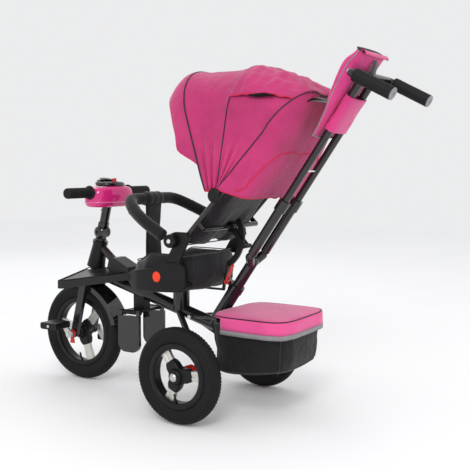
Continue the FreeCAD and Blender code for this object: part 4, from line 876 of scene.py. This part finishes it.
def piping(name, lines, mat, radius, blend=None):
    """Thin cords along seams and hems of the canopy."""
    slot = "black_fabric" if mat is BLACK_TRIM else "pink_fabric"
    cords = [sweep(line, radius / 1000, sides=8) for line in lines]
    obj = join(name, cords, None if blend else "backrest", slot, mat)
    if blend:
        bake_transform(obj)
    return obj


def lifted(row):
    """The same line just outside the cloth."""
    out = []
    for p in row:
        side = Vector((0, math.copysign(1.0, p.y), 0))
        out.append(p + (outward(p, p.y, 0.5) if abs(p.y) < 0.1 else side) * 1.2 / 1000)
    return out


FOLD = ("backrest", "canopy", at(-300, 0, 700), at(-20, 0, 760))
roof_rows = roof_part() + visor_part()
side_hems = [[row[end] for row in roof_rows[:2 * HALF_ROWS + 1]] for end in (0, -1)]
trims = [piping("canopy_seam_front", [lifted(roof_rows[2 * HALF_ROWS])], BLACK_TRIM, 2.1, FOLD),
         piping("canopy_seam_middle", [lifted(roof_rows[HALF_ROWS])], BLACK_TRIM, 1.6, FOLD),
         piping("canopy_hem_front", [roof_rows[-1]], RED_TRIM, 1.1, FOLD),
         piping("canopy_hem_side", side_hems, RED_TRIM, 2.8, FOLD)]
sheet_object("canopy_roof", roof_rows, None, PINK, ["canopy_front"],
             blend=FOLD)


def roof_flap():
    """Vent flap over the roof between the middle and rear bows, gathered at its edges."""
    rows = []
    for j in range(41):
        t = j / 40
        row = []
        for y, k in hoop_section(72, lerp(0.90, 0.73, t)):
            p = station(REAR, k, y).lerp(station(MIDDLE, k, y), t)
            d = outward(p, y, k)
            bow = (4 * t * (1 - t)) ** 0.7
            lift = 2.2 + 6.0 * bow * ease((k - 0.70) / 0.25) + 6.0 * bow
            gather = 1.6 * math.sin(t * 34 + y * 0.05) * bow
            crumple = wrinkle(p, 24, 8.0, 11.0) * bow + wrinkle(p, 60, 3.0, 1.0) * bow
            row.append(p + d * (lift + gather + crumple) / 1000)
        rows.append(row)
    return rows


flap_rows = roof_flap()
flap_edges = [[row[end] for row in flap_rows] for end in (0, -1)]
flap_trim = piping("canopy_vent_piping", flap_edges, RED_TRIM, 1.6)
# Painted shade: dark strokes just below the flap's side edges stand for the shadow in the vent gaps.
vent_shade_strokes = []
for edge, side in zip(flap_edges, (1, -1)):
    line = [edge[j] + Vector((0, 0.002 * side, -0.003)) for j in (10, 14, 18, 22, 26)]
    vent_shade_strokes.append(sweep(smooth_line(line, 6), lambda t: 0.0005 + 0.0042 * math.sin(math.pi * t), sides=12))
join("canopy_vent_shadow", vent_shade_strokes, "backrest", "black_fabric", VENT_SHADE)
sheet_object("canopy_flap", flap_rows, "backrest", PINK)


def rear_rows():
    """Panel from the rear hoop down to the hem across the back."""
    back = Vector((-1, 0, -0.3)).normalized()
    rows = []
    n = 30
    for j in range(n + 1):
        w = j / n
        row = []
        for y, k in SECTION:
            top = station(REAR, k, y)
            if k < 0.5:
                hem = at(lerp(-86, -150, k / 0.5), y, lerp(604, 588, k / 0.5))
            else:
                round_ = ease((k - 0.5) / 0.45)
                hem = at(lerp(-150, -160, round_), y * (1 - 0.02 * round_), lerp(588, 583, round_))
            p = top.lerp(hem, w)
            hump = math.sin(math.pi * w)
            side = Vector((0, math.copysign(1, y), 0))
            p += back * hump * (6 + 7 * ease(k)) * ease(k / 0.3) / 1000
            p -= side * (4.0 * hump * ease(k / 0.4)) / 1000
            if abs(y) > 1:
                ray = 3.2 * math.sin(k * 26 + w * 2.0) * hump * (1 - ease((k - 0.35) / 0.5))
                p += side * min(ray + wrinkle(p, 16, 3.5, 4.0) * hump, 1.5) / 1000
            row.append(p)
        rows.append(row)
    return rows


back_rows = rear_rows()
# A red cord arches over the back from hub to hub.
arc_line = []
for i in range(13, N_SIDE - 12):
    near = min(i, N_SIDE - i)
    w = (0.55 + 0.33 * (1 - ease((near - 12) / 26))) * (len(back_rows) - 1)
    low = int(w)
    p = back_rows[low][i].lerp(back_rows[low + 1][i], w - low)
    arc_line.append(p + Vector((-0.001 * ease((near - 20) / 15), math.copysign(0.001, p.y) * (near < 38), 0)))
rear_trims = [piping("canopy_seam_rear", [lifted(back_rows[0])], BLACK_TRIM, 1.5),
              piping("canopy_arc_piping", [arc_line], RED_TRIM, 1.7),
              piping("canopy_hem_rear", [back_rows[-1]], RED_TRIM, 1.5)]
sheet_object("canopy_back", back_rows, "backrest", PINK, ["canopy_rear"])
hub_profile = [(153.6, 6), (153.6, 18.6), (156, 19.4), (159.5, 18.8), (161, 16.5), (161, 12), (160, 11.2),
               (160, 5), (161, 4), (161.4, 0.3)]
hub_discs = [lathe(HUB, Y_AXIS * side, hub_profile, segments=56) for side in (1, -1)]
join("canopy_hub_covers", hub_discs, "backrest", "black_plastic", SATIN)


def cloth_bow(name, node, index, body):
    """Thin rod just inside the cloth along a hoop, starting halfway from the hub."""
    inset = [station(index, k * 0.975, y * 0.965) for y, k in hoop_section(72, 0.06)]
    feet = [HUB + Y_AXIS * 0.1515 * side for side in (1, -1)]
    line = [feet[0].lerp(inset[0], 0.5)] + inset + [feet[1].lerp(inset[-1], 0.5)]
    join(name, [sweep(line, 0.003, sides=10)], body, "frame_black", FRAME, replaces=[node])


cloth_bow("front_bow_rod", "front_bow", FRONT, "canopy")
cloth_bow("middle_bow_rod", "middle_bow", MIDDLE, "canopy_mid")


# ---- backrest and seat ------------------------------------------------------
def backrest_cover():
    """Padded cover with four cross seams in front and a fuller lower back."""
    n, m = 26, 34
    seed = 1.0
    front_rows, back_rows = [], []
    for j in range(m + 1):
        v = -1 + 2 * j / m
        front_row, back_row = [], []
        for i in range(n + 1):
            u = -1 + 2 * i / n
            edge = (1 - abs(u) ** 5) ** 0.5 * (1 - abs(v) ** 7) ** 0.5
            y = 121 * (1 - 0.02 * math.cos(v * math.pi / 2)) * u
            s = lerp(-22, 418, (v + 1) / 2) + 5 * (1 - u * u) * (1 if v > 0 else -1) * abs(v) ** 5
            p = on_back(s, 0, y)
            soft = wrinkle(p, 11, 3.0, seed) + wrinkle(p, 30, 1.2, seed + 4)
            dent = sum(-4.5 * math.exp(-((s - seam) / 7.0) ** 2) for seam in (60, 150, 240, 330))
            front_row.append(on_back(s, (17 + soft + dent) * edge, y))
            low = ease((150 - s) / 120) * ease((abs(y) - 24) / 30)
            back_row.append(on_back(s - 10 * low * (v < 0), (0.8 * soft - 10 - 13 * low) * edge, y))
        front_rows.append(front_row)
        back_rows.append(back_row)
    back, back_faces = grid(back_rows)
    halves = [grid(front_rows), (back, [tuple(reversed(f)) for f in back_faces])]
    obj = join("backrest_cover", halves, None, "grey_fabric", GREY, replaces=["backrest_pad"], weld=True)
    inflate(obj, cap=6.0)
    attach(obj, "backrest")


backrest_cover()
edge_lines = []
for q in (6.0, -6.0):
    left = [(-12, 119.5), (200, 118.6), (405, 119.5), (414, 108), (416, 0)]
    right = [(s, -y) for s, y in reversed(left[:-1])]
    foot = [(-21, -106), (-23, 0), (-21, 106), (-12, 119.5)]
    ring = [on_back(s, q, y) for s, y in left + right + foot]
    edge_lines.append(sweep(smooth_line(ring, 6), 0.0016, sides=8))
join("backrest_piping", edge_lines, "backrest", "black_fabric", BLACK_TRIM)
seam_points = ((28, -11.2, 112), (24, -11.8, 60), (22, -12.2, 0), (24, -11.8, -60), (28, -11.2, -112))
seam = smooth_line([on_back(*p) for p in seam_points], 8)
join("backrest_pocket_seam", [sweep(seam, 0.0015, sides=8)], "backrest", "black_fabric", BLACK_TRIM)


SWIVEL_X, SWIVEL_LIMIT = 145, 0.1500


def seat_point(k, n, power, share):
    """Plan position (x, y) on the seat's rounded outline, shrunk to a share of it."""
    cx, cy = superellipse(2 * math.pi * k / n, 1, 1, power)
    return 133 + cx * (132 if cx > 0 else 127) * share, cy * 107 * share


def seat_level(n, z, share, up):
    """One level of the wall; up is the share of the way to the rim, where z isn't given."""
    row = []
    for k in range(n):
        x, y = seat_point(k, n, 3.4, share)
        rear = ease((70 - x) / 60)
        rim = lerp(lerp(424, 431, rear), 398, ease((x - 170) / 60))
        p = at(x, y, lerp(348, rim, up) if z is None else z)
        if share > 0.84 and z is None and up < 0.95:
            puff = math.sin(math.pi * up) * (3.5 + 4 * rear)
            puff += wrinkle(p, 26, 3.5, 7) * math.sin(math.pi * min(1, up + 0.1))
            p += Vector((x - SWIVEL_X, y, 0)).normalized() * puff / 1000
        flat = p - at(SWIVEL_X, 0, 0)
        r = math.hypot(flat.x, flat.y)
        if r > SWIVEL_LIMIT:
            p.x = at(SWIVEL_X, 0, 0).x + flat.x * SWIVEL_LIMIT / r
            p.y = flat.y * SWIVEL_LIMIT / r
        row.append(p)
    return row


def seat_tub():
    """Deep fabric seat: outer wall, rolled rim, inner wall and seat."""
    n = 96
    wall = ((331, 0.50, 0), (330, 0.74, 0), (334, 0.84, 0), (352, 0.945, 0), (None, 1.0, 0.25),
            (None, 1.0, 0.55), (None, 0.99, 0.8), (None, 0.985, 0.93), (None, 0.955, 1.0),
            (None, 0.90, 1.02), (None, 0.86, 0.985), (None, 0.83, 0.9))
    levels = [seat_level(n, *level) for level in wall]
    for share in (0.78, 0.6, 0.4, 0.2, 0.02):
        row = []
        for k in range(n):
            x, y = seat_point(k, n, 3.0, share)
            crown = 2 - 6 * share ** 4 - 3 * math.exp(-((x - 130) / 6) ** 2)
            row.append(at(x, y, 393 + crown))
        levels.append(row)
    verts, faces = grid(levels, close_v=True, caps=True)
    obj = place("seat_cover", verts, faces, None, "grey_fabric", GREY, replaces=["seat_cushion"], weld=True)
    inflate(obj, pressure=3.0, cap=4.0)
    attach(obj, "seat")
    rim_line = [p + Vector((0, 0, 0.0008)) for p in levels[8]]
    join("seat_cover_piping", [sweep(rim_line, 0.0016, sides=8, closed=True)], "seat",
         "black_fabric", BLACK_TRIM)
    stitch = []
    middle = at(SWIVEL_X, 0, 380)
    for k in (34, 48, 62):
        column = [levels[j][k] for j in range(3, 9)]
        stitch.append(sweep([p + (p - middle).normalized() * 0.0035 for p in column], 0.0011, sides=6))
    join("seat_cover_seams", stitch, "seat", "black_fabric", BLACK_TRIM)


seat_tub()


# ---- pouch ------------------------------------------------------------------
def pouch_depth(v):
    """Depth of the pouch from its lower edge (0) to its mouth (1)."""
    deep = lerp(4, 44, ease(v * 1.25)) if v < 0.82 else lerp(43, 31, ease((v - 0.82) / 0.18))
    return max(deep, 5)


def pouch_shell():
    """Open bag hanging on the handle, with its binding and piping."""
    n = 60
    unit = oval(n, 1, 1, 3.2)
    rows = []
    for j in range(31):
        v = j / 30
        half = 71 + 3.5 * math.sin(math.pi * v)
        bottom = -14 * (1 - v) ** 3
        row = []
        for cx, cy in unit:
            p = on_handle(lerp(606, 838, v), 13.4 + pouch_depth(v) * (0.5 + 0.5 * cx), half * cy)
            fold = wrinkle(p, 17, 5.0, 3.0) + wrinkle(p, 40, 1.6, 6.0)
            fold = fold * ease(v / 0.15) * (1 if cx > -0.2 else 0.2)
            sideways = 0.6 * fold * cy * (cx > -0.5)
            droop = bottom * (1 - cy * cy) * 0.2
            p += (HANDLE_OUT * fold * max(0, cx) + Y_AXIS * sideways + HANDLE_UP * droop) / 1000
            row.append(p)
        rows.append(row)
    inner = [[on_handle(lerp(606, 838, v), 15.5 + 27 * (0.5 + 0.5 * cx), 68 * cy) for cx, cy in unit]
             for v in (1.0, 0.9, 0.7)]
    binding = sweep([p + HANDLE_UP * 0.001 for p in rows[-1]], 0.0022, sides=8, closed=True, flat=1.4)
    join("pouch_binding", [binding], "upper_handle", "black_fabric", BLACK_TRIM)
    cords = [sweep([row[k] for row in rows], 0.0016, sides=8) for k in (15, 45)]
    cords.append(sweep(rows[0], 0.0018, sides=8, closed=True))
    join("pouch_piping", cords, "upper_handle", "black_fabric", GREY_TRIM)
    shell = grid(rows + inner, close_v=True, caps=True)
    obj = join("pouch_shell", [shell], "upper_handle", "pink_fabric", PINK_BAG, replaces=["pouch_bag"])


def pouch_flap():
    """Short flap folded over the pouch's mouth."""
    rows = []
    for j in range(14):
        v = j / 13
        a = lerp(-0.2, math.pi * 0.62, v)
        s = 838 + 7 * math.sin(a) - 34 * ease((v - 0.55) / 0.45)
        q = 29.8 - 20 * math.cos(a) + 2 * ease((v - 0.5) / 0.5)
        line = [on_handle(s, q, (-1 + k / 12) * 73) for k in range(25)]
        rows.append([p + HANDLE_OUT * wrinkle(p, 25, 2.5, 8) / 1000 for p in line])
    sheet_object("pouch_flap", rows, "upper_handle", PINK_BAG)


def pouch_wrap():
    """Band round both handle tubes that holds the pouch."""
    unit = oval(72, 1, 1, 3.6)
    band = []
    for s in (633, 640, 660, 682, 704, 724, 731):
        row = []
        for cx, cy in unit:
            p = on_handle(s, 0.4 + cx * 14.6, cy * 48.2)
            puff = 0.8 * math.sin(s * 0.21) + wrinkle(p, 30, 1.5, 2)
            row.append(p + (HANDLE_OUT * cx + Y_AXIS * cy) * puff / 1000)
        band.append(row)
    inner = [[on_handle(s, 0.4 + cx * 12.8, cy * 46.6) for cx, cy in unit] for s in (731, 633)]
    wrap = grid(band + inner + [band[0]], close_v=True)
    obj = join("pouch_wrap", [wrap], "upper_handle", "pink_fabric", PINK_BAG)


pouch_shell()
pouch_flap()
pouch_wrap()


# ---- basket -----------------------------------------------------------------
BASKET_X = -142
RING = 112


def rounded_ring(x0, x1, half):
    """Points round a rounded rectangle, as (x, y, corner share)."""
    middle, a = (x0 + x1) / 2, (x1 - x0) / 2
    out = []
    for k, (cx, cy) in enumerate(oval(RING, a, half, 5.0)):
        t = 2 * math.pi * k / RING
        out.append((middle + cx, cy, abs(math.cos(t) * math.sin(t)) * 2))
    return out


def away(p):
    """Level direction from the basket's middle to a point."""
    return Vector((p.x - at(BASKET_X, 0, 0).x, p.y, 0)).normalized()


def basket_ring(inset):
    return rounded_ring(-260 + inset, -25 - inset * 0.4, 128 - inset)


def basket():
    """Mesh basket with slack sides and a bottom that rises to the rear."""
    rows = []
    for z, inset, slack in ((258, 4, 0), (250, 3, 0.2), (232, 4, 0.4), (205, 7, 1), (178, 10, 1), (150, 13, 1),
                            (128, 15, 0.9), (116, 18, 0.6), (109, 24, 0.3), (106, 36, 0.1), (105.5, 70, 0)):
        row = []
        for x, y, c in basket_ring(inset):
            p = at(x, y, z)
            push = (1 - c) * 4.5 * math.sin(math.pi * (258 - z) / 150)
            push += wrinkle(p, 16, 8.0, 12) + wrinkle(p, 40, 3.5, 3)
            rise = ease((240 - z) / 130) * lerp(24, 8, ease((x + 260) / 200))
            if z < 120:
                rise += 4 - (1 - c) * 3
            row.append(p + away(p) * push * slack / 1000 + Z_AXIS * rise / 1000)
        rows.append(row)
    inner = [[at(x, y, z) for x, y, _ in basket_ring(inset)]
             for z, inset in ((258, 6.5), (200, 14), (150, 24), (142, 40))]
    shell = grid(list(reversed(rows)) + inner, close_v=True, caps=True)
    obj = join("basket_shell", [shell], "root", "black_fabric", MESH, replaces=["basket"])
    cords = [sweep([row[k] + away(row[k]) * 0.001 for row in rows[1:9]], 0.0016, sides=8)
             for k in (14, 42, 70, 98)]
    cords.append(sweep(rows[7], 0.0018, sides=8, closed=True))
    join("basket_piping", cords, "root", "black_fabric", BLACK_TRIM)


def without_front(verts, faces):
    """The lid's skirt is left off where the handle socket and frame pass."""
    limit = at(-73, 0, 0).x
    return [f for f in faces if sum(verts[i].x for i in f) / 4 < limit or min(verts[i].z for i in f) > 0.2635]


def lid():
    """Soft lid: crowned top, piped edge, skirt with a grey band."""
    hinge = -30
    top = []
    for grow, z in ((-60, 277.5), (-30, 277.2), (-12, 276.4), (-4, 275.2), (0.5, 273.0), (3.0, 270.5), (3.6, 262),
                    (3.9, 250), (4.0, 240), (4.0, 228)):
        row = []
        for x, y, _ in rounded_ring(-260 - grow, hinge + min(0, grow) * 0.8, 128 + grow):
            crown = 1.6 * math.cos(min(1, abs(y) / 128) * 1.57) if z > 274 else 0.0
            p = at(min(x, hinge), y, z + crown)
            if z > 275:
                p += Z_AXIS * wrinkle(p, 13, 2.0, 5) / 1000
            if z < 265:
                side = Vector((x - BASKET_X, y, 0)).normalized()
                p += side * (1.2 * math.sin(x * 0.11 + y * 0.09) + wrinkle(p, 18, 1.2, 6)) / 1000
            row.append(p)
        top.append(row)
    verts, faces = grid(top[:9], close_v=True)
    faces = without_front(verts, faces) + [tuple(range(RING))]
    obj = place("basket_cover", verts, faces, None, "pink_fabric", PINK_LID, replaces=["basket_lid"], weld=True)
    thicken(obj, 0.0022, -1)
    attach(obj, "lid")
    verts, faces = grid(top[8:], close_v=True)
    faces = without_front(verts, faces)
    verts = [p + away(p) * 0.0006 for p in verts]
    band = place("basket_cover_band", verts, faces, None, "black_fabric", GREY_TRIM, weld=True)
    thicken(band, 0.0016, -1)
    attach(band, "lid")
    edge = [p + Vector((0, 0, 0.0006)) for p in top[4]]
    join("basket_cover_piping", [sweep(edge, 0.0017, sides=8, closed=True)], "lid", "black_fabric", BLACK_TRIM)


basket()
lid()


# ---- foot platform rim ------------------------------------------------------
def platform_trim():
    """Rolled edge round the foot platform."""
    edge = ((485, 4, 356), (484, 150, 329.5), (472, 149, 330), (400, 88, 340.5), (330, 32, 351))
    rim = [sweep([at(x, y * side, z) for x, y, z in edge], 0.0016, sides=8) for side in (1, -1)]
    join("platform_rim", rim, "root", "black_plastic", SATIN)


platform_trim()


# ---- floor, light and camera ------------------------------------------------
def stage():
    """Pale floor and walls of light round the object."""
    verts = [Vector((x, y, -0.0005)) for x, y in ((-6, -6), (6, -6), (6, 6), (-6, 6))]
    paper = material("floor_paper", (0.97, 0.97, 0.975), 0.9, vary=0.01, vary_scale=2, bump=0.02, spec=0.1)
    floor = place("floor", verts, [(0, 1, 2, 3)], None, None, paper, smooth=False)
    world = bpy.data.worlds.new("studio")
    bpy.context.scene.world = world
    world.use_nodes = True
    backdrop = world.node_tree.nodes["Background"]
    backdrop.inputs["Color"].default_value = (0.97, 0.975, 0.985, 1)
    backdrop.inputs["Strength"].default_value = 0.86
    for name, where, aim, size, power in (("key", (-1.6, 3.2, 3.0), (0, 0, 0.5), 1.3, 62),
                                          ("fill", (-3.2, -0.6, 2.0), (0, 0, 0.4), 2.0, 10),
                                          ("rim", (2.6, -2.0, 2.6), (0, 0, 0.6), 1.6, 12)):
        light = bpy.data.lights.new(name, "AREA")
        light.size = size
        light.energy = power
        lamp = bpy.data.objects.new(name, light)
        bpy.context.scene.collection.objects.link(lamp)
        lamp.location = where
        lamp.rotation_euler = (Vector(aim) - Vector(where)).to_track_quat("-Z", "Y").to_euler()


def look_from():
    """Camera behind the left rear wheel, level with the seat, looking forward and across."""
    scene = bpy.context.scene
    camera = bpy.data.objects.new("camera", bpy.data.cameras.new("camera"))
    scene.collection.objects.link(camera)
    scene.camera = camera
    camera.location = at(-1197, 1848, 666)
    yaw, pitch = math.radians(-57.89), math.radians(-4.94)
    level = math.cos(pitch)
    look = Vector((level * math.cos(yaw), level * math.sin(yaw), math.sin(pitch)))
    camera.rotation_euler = look.to_track_quat("-Z", "Y").to_euler()
    camera.data.sensor_width = 36
    camera.data.lens = 36 * 798 / 470
    camera.data.clip_start = 0.05
    camera.data.clip_end = 30
    scene.view_settings.view_transform = "Standard"
    scene.view_settings.look = "None"


stage()
look_from()
